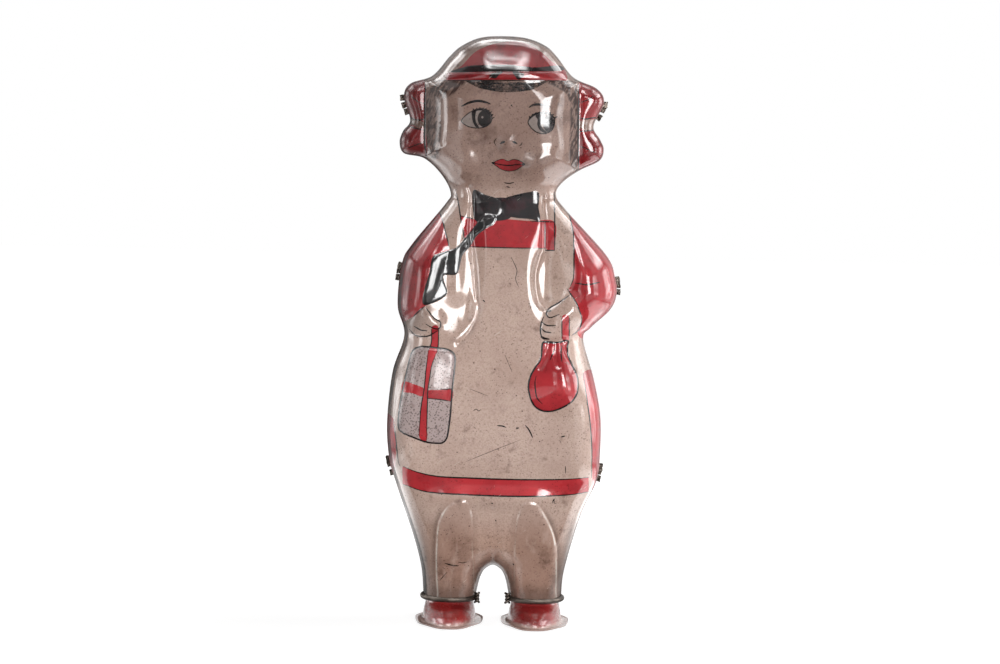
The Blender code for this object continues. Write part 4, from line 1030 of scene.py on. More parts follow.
# Where worn marks and painted shade start and end in millimetres: heights, then places across the doll, then
# from front to back
wearAndShade = {
    "neckBow": (138, 146), "head": (142, 160), "legs": (28, 42), "sleeve": (98, 106), "trunk": (125, 140),
    "stockingTop": (37, 44), "ankle": (9, 17),
    "leftLobe": (-29, -27), "leftSleeve": (-36, -18), "leftSide": (-22, -10), "outerLeg": (13.5, 16.5),
    "seamWall": (0.4, 2.8), "frontHalf": (figureY - 0.6, figureY + 0.6),
}


def printedTin():
    material, finish, add, coords = newMaterial("lithographed tinplate")
    cloud = partial(blotches, add, coords)
    tone = {name: hexColour(text) for name, text in printed.items()}
    across, depth, height = add("split", coords)
    wobble = add("times", add("minus", add("noise", coords, 1 / (0.7 * mm), 3), 0.5), 0.12)
    colour = tone["cream"]

    def lay(mask, coat, kind="mix"):
        nonlocal colour
        colour = add(kind, mask, colour, coat)

    def printMask(layer, soft=0.05):
        return add("ramp", add("plus", add("attribute", attribute_name=layer), wobble), -soft, soft, 1.0, 0.0)

    def between(place, name, start=0.0, end=1.0):
        low, high = wearAndShade[name]
        return add("ramp", place, low * mm, high * mm, start, end)

    # Aged ground, with the stockings a shade darker
    lay(add("times", cloud(26, 4, 0.6, 0.35, 0.7), 0.6), tone["creamAged"])
    lay(add("times", cloud(0.55, 2, 0.5, 0.42, 0.68), 0.5), tone["creamAged"])
    lay(cloud(0.8, 3, 0.7, 0.54, 0.72, 0.0, 0.4), tone["stain"])
    lay(add("times", printMask("stocking", 3.0), 0.62), tone["stocking"])
    # Halftone stipple of the parcel
    stipple = add("ramp", add("dots", coords, 1 / (0.75 * mm)), 0.30, 0.42, 1.0, 0.0)
    lay(printMask("parcel"), add("mix", add("times", stipple, 0.55), tone["parcel"], tone["dark"]))
    # Hair is drawn as fine slanting strokes
    slanted = add("stretch", coords, (1, 1, 7), (0, math.radians(28), 0))
    strands = blotches(add, slanted, 0.9, 2, 0.5, 0.40, 0.56, 0.22, 0.9)
    lay(add("times", printMask("hair", 0.4), strands), tone["hairInk"])
    # Inks, the solid ones uneven
    lay(printMask("red"), add("mix", cloud(14, 4, 0.6, 0.35, 0.7), tone["red"], tone["redDeep"]))
    lay(printMask("pale"), tone["pale"])
    worn = add("mix", between(height, "neckBow"), tone["darkWorn"], tone["bowWorn"])
    lay(printMask("dark"), add("mix", cloud(5, 4, 0.65, 0.45, 0.75), tone["dark"], worn))
    lay(printMask("sparkle"), tone["pale"])
    lay(printMask("ink", 0.06), tone["ink"])
    # Painted shade darkens the head and the left bow and sleeve, and the legs are browner
    head = between(height, "head")
    legs = between(height, "legs", 1.0, 0.0)
    lay(head, tone["headShade"], "tint")
    lay(legs, tone["legTint"], "tint")
    # Painted shade on the left bow and the left sleeve
    lobe = add("times", head, between(across, "leftLobe", 0.5, 0.0))
    sleeve = add("times", between(across, "leftSleeve", 0.55, 0.0), between(height, "sleeve"))
    leftShade = add("larger", lobe, sleeve)
    lay(leftShade, tone["shadeAndGrime"])
    # Dirt and painted shade line the seam; the painted shade is thickest down the left of the front half
    seam = add("attribute", attribute_name="seam")
    onFront = between(depth, "frontHalf", 1.0, 0.0)
    leftSide = add("times", between(across, "leftSide", 0.9, 0.0), between(height, "trunk", 1.0, 0.0))
    leftEdgeShade = add("times", leftSide, onFront)
    clean = add("minus", add("plus", seam, add("times", wobble, 4.0)), leftEdgeShade)
    fromSeam = add("unsigned", add("minus", depth, figureY * mm))
    wall = between(add("plus", fromSeam, add("times", wobble, 0.012)), "seamWall", 0.95, 0.3)
    # The painted shade down the left edge darkens the seam wall too
    wall = add("larger", wall, add("times", leftEdgeShade, 0.75))
    shoulder = add("times", add("ramp", seam, 0.28, 0.40), onFront)
    shoulder = add("times", shoulder, cloud(6, 4, 0.6, 0.36, 0.56, 0.5, 0.95))
    shadeAndGrime = add("times", add("ramp", clean, 0.3, 0.85, 1.0, 0.0), add("larger", wall, shoulder))
    lay(shadeAndGrime, tone["shadeAndGrime"])
    # The ridges of the stockings carry a pale line that is painted highlight and rubbed tin, with painted
    # shade outside them
    oval = add("attribute", attribute_name="stocking")
    outerLeg = between(add("unsigned", across), "outerLeg", 0.25, 1.0)
    outer = add("times", outerLeg, between(height, "stockingTop", 1.0, 0.0))
    ridgeShade = add("times", add("ramp", oval, 0.0, 2.6, 0.45, 0.0), add("ramp", oval, -0.2, 0.3))
    lay(add("times", ridgeShade, outer), tone["shadeAndGrime"])
    ridgeWearAndHighlight = add("ramp", add("unsigned", add("plus", oval, 0.45)), 0.12, 0.32, 0.8, 0.0)
    lay(add("times", add("times", ridgeWearAndHighlight, outer), cloud(7, 3, 0.5, 0.38, 0.52)), tone["chipAndHighlight"])
    # Pale streaks down the legs, rub marks and painted reflection; painted shade at their edges, and darker
    # towards the ankles
    upright = add("stretch", coords, (1, 1, 8))
    lay(add("times", blotches(add, upright, 3.2, 4, 0.6, 0.52, 0.72, 0.0, 0.5), legs), tone["cream"])
    legEdgeShade = add("times", add("ramp", seam, 0.0, 5.5, 0.55, 0.0), legs)
    lay(add("larger", between(height, "ankle", 0.5, 0.0), legEdgeShade), tone["shadeAndGrime"])
    # Stains and specks in the ground, worn chips, and fine handling scratches
    lay(cloud(5, 5, 0.65, 0.56, 0.74, 0.0, 0.55), tone["stain"], "tint")
    handled = add("larger", head, add("times", legs, 0.8))
    lay(add("times", cloud(11, 6, 0.7, 0.46, 0.72, 0.0, 0.6), handled), tone["stain"], "tint")
    fine = add("ramp", add("dots", coords, 1 / (1.05 * mm)), 0.16, 0.25, 1.0, 0.0)
    coarse = add("ramp", add("dots", coords, 1 / (4.6 * mm)), 0.045, 0.07, 1.0, 0.0)
    specks = add("times", add("times", fine, cloud(7, 4, 0.5, 0.36, 0.62)), 0.7)
    lay(add("times", add("larger", specks, coarse), 0.8), tone["hairInk"])
    drawn = add("stretch", coords, (0.3, 1, 4.5), (0, 0.9, 0))
    scratches = add("times", blotches(add, drawn, 1.6, 2, 0.5, 0.735, 0.76), 0.6)
    chips = add("larger", cloud(2.4, 6, 0.7, 0.715, 0.74), scratches)
    lay(add("times", chips, 0.8), tone["chipAndHighlight"])
    # The varnish wears thinner on the left bow and sleeve, is rubbed off the parcel in patches, and is gone
    # under the dirt and painted shade
    rubbedOff = add("times", printMask("parcel"), cloud(3.5, 5, 0.7, 0.40, 0.62, 0.45, 0.9))
    gloss = add("times", add("ramp", leftShade, 0.0, 0.55, 1.0, 0.4), add("minus", 1.0, rubbedOff))
    dents = add("bump", add("noise", coords, 1 / (13 * mm), 2), 0.35 * mm, 0.5)
    peel = add("bump", add("noise", coords, 1 / (1.6 * mm), 2), 0.02 * mm, 0.5, dents)
    finish({
        "Base Color": colour, "Roughness": cloud(8, 4, 0.5, 0.3, 0.8, 0.26, 0.42), "Specular IOR Level": 0.1,
        "Coat Weight": add("times", add("ramp", shadeAndGrime, 0.0, 0.5, 1.0, 0.06), gloss),
        "Coat Roughness": 0.09, "Coat IOR": 1.5, "Coat Normal": dents,
        "Normal": add("bump", add("minus", 1.0, chips), 0.03 * mm, 0.6, peel),
    })
    return material


def bareMetal(name, bright, dull, roughness, grainSize, rust=None):
    # Bare or plated metal: two tones in blotches, drawn grain in the roughness, fine scratches
    material, finish, add, coords = newMaterial(name)
    patches = blotches(add, coords, grainSize * 4, 4, 0.6, 0.35, 0.7)
    colour = add("mix", patches, hexColour(bright), hexColour(dull))
    if rust:
        spots = blotches(add, coords, grainSize * 2, 6, 0.7, 0.58, 0.70)
        colour = add("mix", spots, colour, hexColour(rust))
    drawn = add("noise", add("stretch", coords, (1, 1, 0.11)), 1 / (grainSize * mm), 3)
    finish({
        "Base Color": colour, "Metallic": 0.9, "Normal": add("bump", drawn, 0.005 * mm, 0.5),
        "Roughness": add("ramp", drawn, 0.25, 0.75, roughness * 0.75, roughness * 1.35),
    })
    return material


# Red enamel baked on tin: glossy, with orange peel and rubbed spots. The sides are paled with a painted
# reflection past a set distance from each shoe's middle, and the brim is pale up to palePast, in millimetres
enamel = {
    "red": "#9c2c2b", "deep": "#7a1f20", "rub": "#b98f80", "brim": "#b7a298", "sideSheen": "#c4aca6",
    "shoeX": (-17.04, 12.76), "sheenFrom": 4.2, "sheenTo": 8.5, "paleTo": 1.6, "palePast": 3.0, "paleWave": 1.6,
}


def redEnamel():
    material, finish, add, coords = newMaterial("red enamelled tinplate")
    cloud = partial(blotches, add, coords)
    tone = {name: hexColour(enamel[name]) for name in ("red", "deep", "rub", "brim", "sideSheen")}
    colour = add("mix", cloud(9, 4, 0.6, 0.35, 0.7), tone["red"], tone["deep"])
    streaks = blotches(add, add("stretch", coords, (0.25, 1, 2.5)), 1.8, 2, 0.5, 0.70, 0.74)
    worn = add("larger", cloud(2.6, 6, 0.72, 0.66, 0.70), streaks)
    colour = add("mix", add("times", worn, 0.7), colour, tone["rub"])
    across, depth, height = add("split", coords)
    # Painted reflection: the sides of each shoe paled in streaky patches
    aside = add("smaller", *(add("unsigned", add("minus", across, x * mm)) for x in enamel["shoeX"]))
    aside = add("ramp", aside, enamel["sheenFrom"] * mm, enamel["sheenTo"] * mm, 0.0, 0.7)
    flattened = add("stretch", coords, (1, 1, 0.35))
    patches = blotches(add, flattened, 2.2, 4, 0.6, 0.36, 0.66, 0.25, 1.0)
    colour = add("mix", add("times", aside, patches), colour, tone["sideSheen"])
    wavy = add("times", add("noise", coords, 1 / (3 * mm), 3), enamel["paleWave"] * mm)
    edge = add("ramp", add("plus", height, wavy), enamel["paleTo"] * mm, enamel["palePast"] * mm, 0.75, 0.0)
    dents = add("bump", add("noise", coords, 1 / (5 * mm), 2), 0.25 * mm, 0.5)
    finish({
        "Base Color": add("mix", edge, colour, tone["brim"]), "Specular IOR Level": 0.15,
        "Roughness": cloud(6, 4, 0.5, 0.3, 0.8, 0.22, 0.40), "Coat Weight": 0.9, "Coat Roughness": 0.2,
        "Normal": add("bump", add("noise", coords, 1 / (1.2 * mm), 2), 0.02 * mm, 0.5, dents),
    })
    return material


# Raw grey iron: coarse cast skin
def castIron():
    material, finish, add, coords = newMaterial("raw cast iron")
    skin = add("noise", coords, 1 / (0.8 * mm), 5, 0.65)
    finish({
        "Base Color": add("mix", skin, hexColour("#4a4847"), hexColour("#6a6764")), "Metallic": 0.8,
        "Roughness": add("ramp", skin, 0.3, 0.7, 0.5, 0.75), "Normal": add("bump", skin, 0.06 * mm, 0.6),
    })
    return material


finishes = {
    "printed_tin": printedTin(),
    "red_tin": redEnamel(),
    "bare_tin": bareMetal("dulled bare tinplate", "#59514b", "#352e29", 0.42, 1.5, "#36291f"),
    "steel": bareMetal("nickelled steel", "#a3a09b", "#77736d", 0.34, 1.0),
    "spring_steel": bareMetal("blued spring steel", "#4d5668", "#3a3f4c", 0.30, 1.2),
    "wheel_brass": bareMetal("stamped clock brass", "#c9a55a", "#a5823f", 0.30, 1.0),
    "weight_iron": castIron(),
}
print("finishes made")


def faceOutwards(mesh, merge=0.0):
    shape = bmesh.new()
    shape.from_mesh(mesh)
    if merge:
        bmesh.ops.remove_doubles(shape, verts=shape.verts, dist=merge)
    bmesh.ops.recalc_face_normals(shape, faces=shape.faces)
    shape.to_mesh(mesh)
    shape.free()


def addPiece(name, points, faces, slots, carrier, sharpFrom=70):
    mesh = bpy.data.meshes.new(name)
    mesh.from_pydata([tuple(p) for p in toWorld(points)], [], [tuple(int(i) for i in face) for face in faces])
    faceOutwards(mesh)
    mesh.shade_smooth()
    mesh.set_sharp_from_angle(angle=math.radians(sharpFrom))
    for slot in slots:
        mesh.materials.append(finishes[slot])
    piece = addObject(name, mesh)
    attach(piece, carrier)
    return piece


def bandFaces(rows, around, closed=False):
    # Faces between rows of points that go round; closed also joins the last row to the first
    faces = []
    for one in range(rows if closed else rows - 1):
        two = (one + 1) % rows
        for i in range(around):
            j = (i + 1) % around
            faces.append((one * around + i, one * around + j, two * around + j, two * around + i))
    return faces


def lift(flat, depth, sign):
    return np.column_stack([flat[:, 0], sign * depth, flat[:, 1]])


def innerSheet(loop, onSeam, side, holes):
    # The inner skin lies a sheet's thickness inside, with its edge moved in from the outline
    run = np.roll(loop, -1, axis=0) - np.roll(loop, 1, axis=0)
    inward = np.column_stack([-run[:, 1], run[:, 0]]) / np.linalg.norm(run, axis=1)[:, None]
    innerLoop = loop + inward * body["tin"]
    innerLoop[~onSeam, 1] = body["legEnd"]
    innerLoop[np.abs(loop[:, 1] - body["legEnd"]) < 1e-6, 1] = body["legEnd"]
    grid = hexLattice(body["innerLattice"])
    grid = grid[isInside(grid, innerLoop)]
    edge = body["innerEdge"]
    grid = grid[(seamDistance(grid, 2 * edge) > edge) & (grid[:, 1] > body["legEnd"] + body["innerEndClear"])]
    for hole in holes:
        grid = grid[signedDistance(grid, hole, 1.0) > body["innerHoleClear"]]
    inner, faces = triangulate(innerLoop, grid, holes)
    return inner, faces, np.maximum(innerSkin(inner, side), body["gap"] / 2)


def rimFaces(onSeam, holes, innerStart, seamStart):
    # Strips that close the sheet along its seam, its leg ends and the edges of its holes
    count = len(onSeam)
    rim = np.arange(count)
    outerSeam = np.where(onSeam, seamStart + rim, rim)
    innerSeam = np.where(onSeam, seamStart + count + rim, innerStart + rim)
    strips = []
    for i in range(count):
        j = (i + 1) % count
        strips += [
            (i, j, outerSeam[j], outerSeam[i]), (innerStart + j, innerStart + i, innerSeam[i], innerSeam[j]),
            (outerSeam[i], outerSeam[j], innerSeam[j], innerSeam[i]),
        ]
    first = count
    for hole in holes:
        for i in range(len(hole)):
            a, b = first + i, first + (i + 1) % len(hole)
            strips.append((a, b, innerStart + b, innerStart + a))
        first += len(hole)
    corners = [tuple(dict.fromkeys(strip)) for strip in strips]
    return [face for face in corners if len(face) > 2]


def buildShell(side, layers, ink, holes, lattice):
    sign = -1 if side == "front" else 1
    loop, onSeam = shellLoop()
    details = np.vstack([reliefDetails(side), printDetails(layers, ink)])
    outer, outerFaces = triangulate(loop, outerPoints(loop, details, holes, lattice), holes)
    inner, innerFaces, innerDepth = innerSheet(loop, onSeam, side, holes)
    seamDepth = np.full(len(loop), body["gap"] / 2)
    points = np.vstack([lift(outer, depthOf(outer, side), sign), lift(inner, innerDepth, sign),
                        lift(outer[:len(loop)], seamDepth, sign), lift(inner[:len(loop)], seamDepth, sign)])
    faces = [tuple(face) for face in outerFaces]
    faces += [tuple(face[::-1] + len(outer)) for face in innerFaces]
    faces += rimFaces(onSeam, holes, len(outer), len(outer) + len(inner))
    used = np.unique(np.concatenate([np.array(face) for face in faces]))
    renumber = np.full(len(points), -1)
    renumber[used] = np.arange(len(used))
    faces = [tuple(renumber[i] for i in face) for face in faces]
    piece = addPiece(side + "_half", points[used], faces, ["printed_tin", "bare_tin"], "body_shell")
    for name, value in printValues(points[used][:, [0, 2]], layers, ink).items():
        data = piece.data.attributes.new(name, "FLOAT", "POINT").data
        data.foreach_set("value", value.astype(np.float32))
    bare = np.zeros(len(piece.data.polygons), dtype=np.int32)
    bare[len(outerFaces):len(outerFaces) + len(innerFaces)] = 1
    piece.data.polygons.foreach_set("material_index", bare)
    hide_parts(side + "_shell")
    print(side, "half:", len(piece.data.polygons), "faces")


buildShell("front", frontLayers, frontInk, [], body["frontLattice"])
buildShell("back", backLayers, backInk, backHoles(), body["backLattice"])

# Shoes: hollow stampings with a thin wavy brim. The bell is (reach, height), the flare is (share of the brim,
# height), and the waves are (number round the brim, share of the rise, where they start)
shoe = {
    "flangeR": 9.1, "flangeTop": 8.5, "flangeBottom": 8.1, "neckR": 8.3, "neckLow": 6.7,
    "halfWidth": 9.2, "front": 18.65, "back": 10.8, "brim": 2.6, "tin": 0.4, "around": 120,
    "bell": ((0.16, 5.9), (0.5, 4.6), (0.82, 3.2), (1.0, 1.7)), "bellStep": 0.25,
    "flare": ((0.10, 1.0), (0.35, 0.55), (0.7, 0.42), (0.9, 0.45), (1.0, 0.55)),
    "waveRise": 0.35, "waveMiddle": 0.5, "waves": ((5, 0.3, 0.6),
                                                   (8, 0.2, 2.0)), "edgeRise": 0.5, "edgeFrom": 0.7,
    "innerDrop": 0.6,
}
sideSigns = {"left": -1, "right": 1}


def shoeRow(reach, brim, height, wave):
    # Reach is 0 at the neck and 1 at the widest part of the bell
    turns = np.linspace(0, 2 * math.pi, shoe["around"], endpoint=False)
    neck = shoe["neckR"]
    side, front, back = (neck + (shoe[name] - neck) * reach + brim for name in ("halfWidth", "front", "back"))
    y = np.where(np.sin(turns) < 0, front, back) * np.sin(turns)
    swell = shoe["waveMiddle"]
    for count, rise, start in shoe["waves"]:
        swell = swell + rise * np.sin(count * turns + start)
    return np.column_stack([side * np.cos(turns), y, height + wave * swell])


def buildShoe(side):
    tin, flangeTop, flangeBottom = shoe["tin"], shoe["flangeTop"], shoe["flangeBottom"]
    flange = shoe["flangeR"] - shoe["neckR"]
    profile = [(0, -tin, flangeTop, 0), (0, flange, flangeTop, 0), (0, flange, flangeBottom, 0),
               (0, 0, flangeBottom, 0), (0, 0, shoe["neckLow"], 0)]
    bell = smoothLine([(0.0, shoe["neckLow"]), *shoe["bell"]], shoe["bellStep"])
    profile += [(reach, 0, height, 0) for reach, height in bell[1:]]
    top = [(1.0, share * shoe["brim"], height,
            share * shoe["waveRise"] + max(0, share - shoe["edgeFrom"]) * shoe["edgeRise"])
           for share, height in shoe["flare"]]
    profile += top
    profile += [(1.0, brim, max(height - tin, 0.0), wave) for reach, brim, height, wave in reversed(top)]
    profile += [(reach, -tin, height - tin * shoe["innerDrop"], 0) for reach, height in reversed(bell)]
    points = np.vstack([shoeRow(*row) for row in profile])
    points[:, 0] = sideSigns[side] * (points[:, 0] + body["legX"])
    faces = bandFaces(len(profile), shoe["around"], True)
    piece = addPiece(side + "_bell_shoe", points, faces, ["red_tin"], side + "_foot")
    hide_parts(side + "_shoe")


# Ankle rings: rolled tin beads that crimp the shoe's flange to the leg
ring = {
    "innerR": 9.4, "lipR": 8.6, "outerR": 10.3, "bottom": 7.5, "top": 9.3, "lipTop": 7.8,
    "around": 120, "arc": 10,
}
# Twisted ends of the binding wire, on the inner side of each ring
wireEnds = {
    "turnToFront": math.radians(24), "fromAxis": 10.5, "bottom": 6.9, "top": 10.3, "coilR": 0.5,
    "wireR": 0.42, "turns": 1.5, "splay": 0.5, "steps": 26, "sides": 8,
}


def tube(path, radius, sides):
    ahead = np.gradient(path, axis=0)
    ahead /= np.linalg.norm(ahead, axis=1)[:, None]
    across = np.cross(ahead, (0.0, 0.6, 0.8))
    across /= np.linalg.norm(across, axis=1)[:, None]
    upward = np.cross(ahead, across)
    points = [at + radius * (math.cos(turn) * one + math.sin(turn) * two)
              for at, one, two in zip(path, across, upward) for turn in fullTurn(sides)]
    last = (len(path) - 1) * sides
    ends = [tuple(reversed(range(sides))), tuple(last + i for i in range(sides))]
    return points, bandFaces(len(path), sides) + ends


def twistedEnds(sign):
    share = np.linspace(0, 1, wireEnds["steps"])
    x = sign * (body["legX"] - wireEnds["fromAxis"] * math.cos(wireEnds["turnToFront"]))
    y = -wireEnds["fromAxis"] * math.sin(wireEnds["turnToFront"])
    height = wireEnds["bottom"] + (wireEnds["top"] - wireEnds["bottom"]) * share
    spread = wireEnds["coilR"] * (1 + wireEnds["splay"] * np.abs(2 * share - 1) ** 4)
    points, faces = [], []
    for start in (0, math.pi):
        turns = start + 2 * math.pi * wireEnds["turns"] * share
        path = np.column_stack([x + spread * np.cos(turns), y + spread * np.sin(turns), height])
        more, moreFaces = tube(path, wireEnds["wireR"], wireEnds["sides"])
        faces += [tuple(i + len(points) for i in face) for face in moreFaces]
        points += more
    return points, faces


def buildRing(side):
    middle = (ring["top"] + ring["bottom"]) / 2
    half = (ring["top"] - ring["bottom"]) / 2
    innerR, lipR, lipTop = ring["innerR"], ring["lipR"], ring["lipTop"]
    bulge = ring["outerR"] - innerR
    turns = np.linspace(-math.pi / 2, math.pi / 2, ring["arc"])
    arc = [(innerR + bulge * math.cos(turn), middle + half * math.sin(turn)) for turn in turns]
    profile = [(lipR, ring["bottom"]), *arc, (innerR, lipTop), (lipR, lipTop)]
    sign = sideSigns[side]
    points = [(sign * body["legX"] + radius * math.cos(turn), radius * math.sin(turn), height)
              for radius, height in profile for turn in fullTurn(ring["around"])]
    faces = bandFaces(len(profile), ring["around"], True)
    ends, endFaces = twistedEnds(sign)
    faces += [tuple(i + len(points) for i in face) for face in endFaces]
    piece = addPiece(side + "_ankle_bead", points + ends, faces, ["bare_tin"], "body_shell")
    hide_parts(side + "_ankle_ring")


for side in sideSigns:
    buildShoe(side)
    buildRing(side)
print("shoes and ankle rings made")

# Folded seam tabs, each of three crumpled slips, instanced along the seam by Geometry Nodes
tabs = {
    "places": (("left", 179.0), ("right", 178.5), ("left", 121.5), ("right", 118.0), ("left", 54.0),
               ("right", 53.0)),
    "slips": (-2.3, 0.2, 2.2),
    "sunk": 0.3,
    "cuts": {"Vertices X": 7, "Vertices Y": 6, "Vertices Z": 8},
    "sizes": {"Length": 2.0, "Reach": 1.7, "Thickness": 1.5, "Crumple": 0.88, "Crumple Size": 1.1},
}


def tabPoints():
    places, turns = [], []
    for side, height in tabs["places"]:
        half = seamOuter[seamOuter[:, 0] * sideSigns[side] > 0]
        for shift in tabs["slips"]:
            near = np.argmin(np.abs(half[:, 1] - height - shift))
            run = half[min(near + 2, len(half) - 1)] - half[max(near - 2, 0)]
            out = np.array([run[1], -run[0]]) / np.linalg.norm(run)
            spot = half[near] + out * (tabs["sizes"]["Reach"] / 2 - tabs["sunk"])
            places.append((spot[0], 0.0, spot[1]))
            turns.append((0.0, math.atan2(-out[1], out[0]), 0.0))
    return places, turns


def tabTree():
    tree = bpy.data.node_groups.new("seam tabs", "GeometryNodeTree")
    add = partial(addNode, tree)
    tree.interface.new_socket("Geometry", in_out="INPUT", socket_type="NodeSocketGeometry")
    for name in tabs["sizes"]:
        tree.interface.new_socket(name, in_out="INPUT", socket_type="NodeSocketFloat")
    tree.interface.new_socket("Geometry", in_out="OUTPUT", socket_type="NodeSocketGeometry")
    given = add("NodeGroupInput")
    size = add("ShaderNodeCombineXYZ", {0: given["Reach"], 1: given["Thickness"], 2: given["Length"]})[0]
    slip = add("GeometryNodeMeshCube", {"Size": size, **tabs["cuts"]})["Mesh"]
    heading = add("GeometryNodeInputNamedAttribute", {"Name": "heading"}, data_type="FLOAT_VECTOR")[0]
    points = given["Geometry"]
    placed = add("GeometryNodeInstanceOnPoints", {"Points": points, "Instance": slip, "Rotation": heading})[0]
    real = add("GeometryNodeRealizeInstances", {"Geometry": placed})[0]
    scale = add("ShaderNodeMath", {0: 1.0, 1: given["Crumple Size"]}, operation="DIVIDE")[0]
    spread = add("ShaderNodeTexNoise", {"Scale": scale, "Detail": 2.0})["Color"]
    centred = add("ShaderNodeVectorMath", {0: spread, 1: (0.5, 0.5, 0.5)}, operation="SUBTRACT")[0]
    push = add("ShaderNodeVectorMath", {0: centred, "Scale": given["Crumple"]}, operation="SCALE")[0]
    bent = add("GeometryNodeSetPosition", {"Geometry": real, "Offset": push})[0]
    dressed = add("GeometryNodeSetMaterial", {"Geometry": bent, "Material": finishes["bare_tin"]})[0]
    add("NodeGroupOutput", {"Geometry": dressed})
    return tree


def takeMesh(*items):
    # Plain mesh of the first item with its modifiers; all the items are then removed
    mesh = bpy.data.meshes.new_from_object(items[0].evaluated_get(bpy.context.evaluated_depsgraph_get()))
    for item in items:
        bpy.data.objects.remove(item)
    return mesh


def buildTabs():
    places, turns = tabPoints()
    seed = bpy.data.meshes.new("seam_tab_points")
    seed.from_pydata([tuple(p) for p in toWorld(places)], [], [])
    headings = seed.attributes.new("heading", "FLOAT_VECTOR", "POINT").data
    headings.foreach_set("vector", np.array(turns, np.float32).ravel())
    maker = addObject("seam_tab_points", seed)
    modifier = maker.modifiers.new("tabs", "NODES")
    modifier.node_group = tabTree()
    for item in modifier.node_group.interface.items_tree:
        if item.in_out == "INPUT" and item.name in tabs["sizes"]:
            modifier[item.identifier] = tabs["sizes"][item.name] * mm
    mesh = takeMesh(maker)
    mesh.name = "seam_tabs"
    mesh.shade_flat()
    piece = addObject("seam_tabs", mesh)
    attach(piece, "body_shell")
    print("seam tabs:", len(mesh.polygons), "faces")


buildTabs()

# Butterfly winding key: a stamped grip with two eyes, let into a turned stem
key = {
    "focus": 9.0, "oval": 9.9, "eyeR": 2.7, "tin": 1.1, "edge": 0.3, "stemR": 3.0, "stem": 8.5, "bore": 5.5,
    "boreR": 1.9, "lip": 0.3, "chamfer": 0.5, "around": 56, "outline": 110, "weld": 0.0005, "letIn": 0.6,
    "sharpFrom": 38,
}


def keyGrip(middle):
    turns = np.linspace(0, 2 * math.pi, key["outline"], endpoint=False)
    focus, oval, edge, eyeR = key["focus"], key["oval"], key["edge"], key["eyeR"]
    root = np.sqrt(oval ** 4 - (focus ** 2 * np.sin(2 * turns)) ** 2)
    radius = np.sqrt(focus ** 2 * np.cos(2 * turns) + root)
    loops = [np.column_stack([radius * np.cos(turns), middle + radius * np.sin(turns)])]
    for eye in (-focus, focus):
        loops.append(np.column_stack([eye + eyeR * np.cos(-turns), middle + eyeR * np.sin(-turns)]))
    curve = bpy.data.curves.new("key grip", "CURVE")
    curve.dimensions, curve.fill_mode = "2D", "BOTH"
    curve.extrude, curve.bevel_depth = key["tin"] / 2 - edge, edge
    curve.bevel_resolution, curve.offset = 3, -edge
    for loop in loops:
        spline = curve.splines.new("POLY")
        spline.points.add(len(loop) - 1)
        flat = np.column_stack([loop, np.zeros(len(loop)), np.ones(len(loop))])
        spline.points.foreach_set("co", flat.ravel())
        spline.use_cyclic_u = True
    mesh = takeMesh(addObject("key grip", curve))
    faceOutwards(mesh, key["weld"])
    return mesh


def keyStem(start):
    stemR, boreR, lip, chamfer = (key[name] for name in ("stemR", "boreR", "lip", "chamfer"))
    end = start + key["stem"]
    profile = [(boreR, start + key["bore"]), (boreR, start), (stemR - lip, start), (stemR, start + lip),
               (stemR, end - 2 * chamfer), (stemR - 0.3 * chamfer, end - chamfer),
               (stemR - chamfer, end - 0.4 * chamfer), (stemR - 2 * chamfer, end)]
    around = key["around"]
    points = [(radius * math.cos(turn), y, radius * math.sin(turn))
              for radius, y in profile for turn in fullTurn(around)]
    last = (len(profile) - 1) * around
    ends = [tuple(range(around)), tuple(last + i for i in range(around))]
    mesh = bpy.data.meshes.new("key stem")
    mesh.from_pydata(points, [], bandFaces(len(profile), around) + ends)
    faceOutwards(mesh)
    return mesh


def buildKey():
    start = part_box("winding_key")[0].y / mm - figureY
    middle = start + key["stem"] + key["letIn"] * math.sqrt(key["oval"] ** 2 - key["focus"] ** 2)
    stem = addObject("key stem", keyStem(start))
    grip = addObject("key grip", keyGrip(middle))
    join = grip.modifiers.new("join", "BOOLEAN")
    join.operation, join.solver, join.object = "UNION", "EXACT", stem
    mesh = takeMesh(grip, stem)
    points = np.array([tuple(vertex.co) for vertex in mesh.vertices]) + (0, 0, motorFit["windingZ"])
    faces = [tuple(face.vertices) for face in mesh.polygons]
    piece = addPiece("butterfly_key", points, faces, ["steel"], "winding", key["sharpFrom"])
    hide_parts("winding_key")


buildKey()
print("key made")

# Carried-over clockwork takes its slots' finishes
for entry in frame["record"]["subparts"]:
    node = frame["nodes"][entry["node"]]
    node.data.materials.clear()
    node.data.materials.append(finishes[entry["material_slot"]])
print("clockwork dressed")

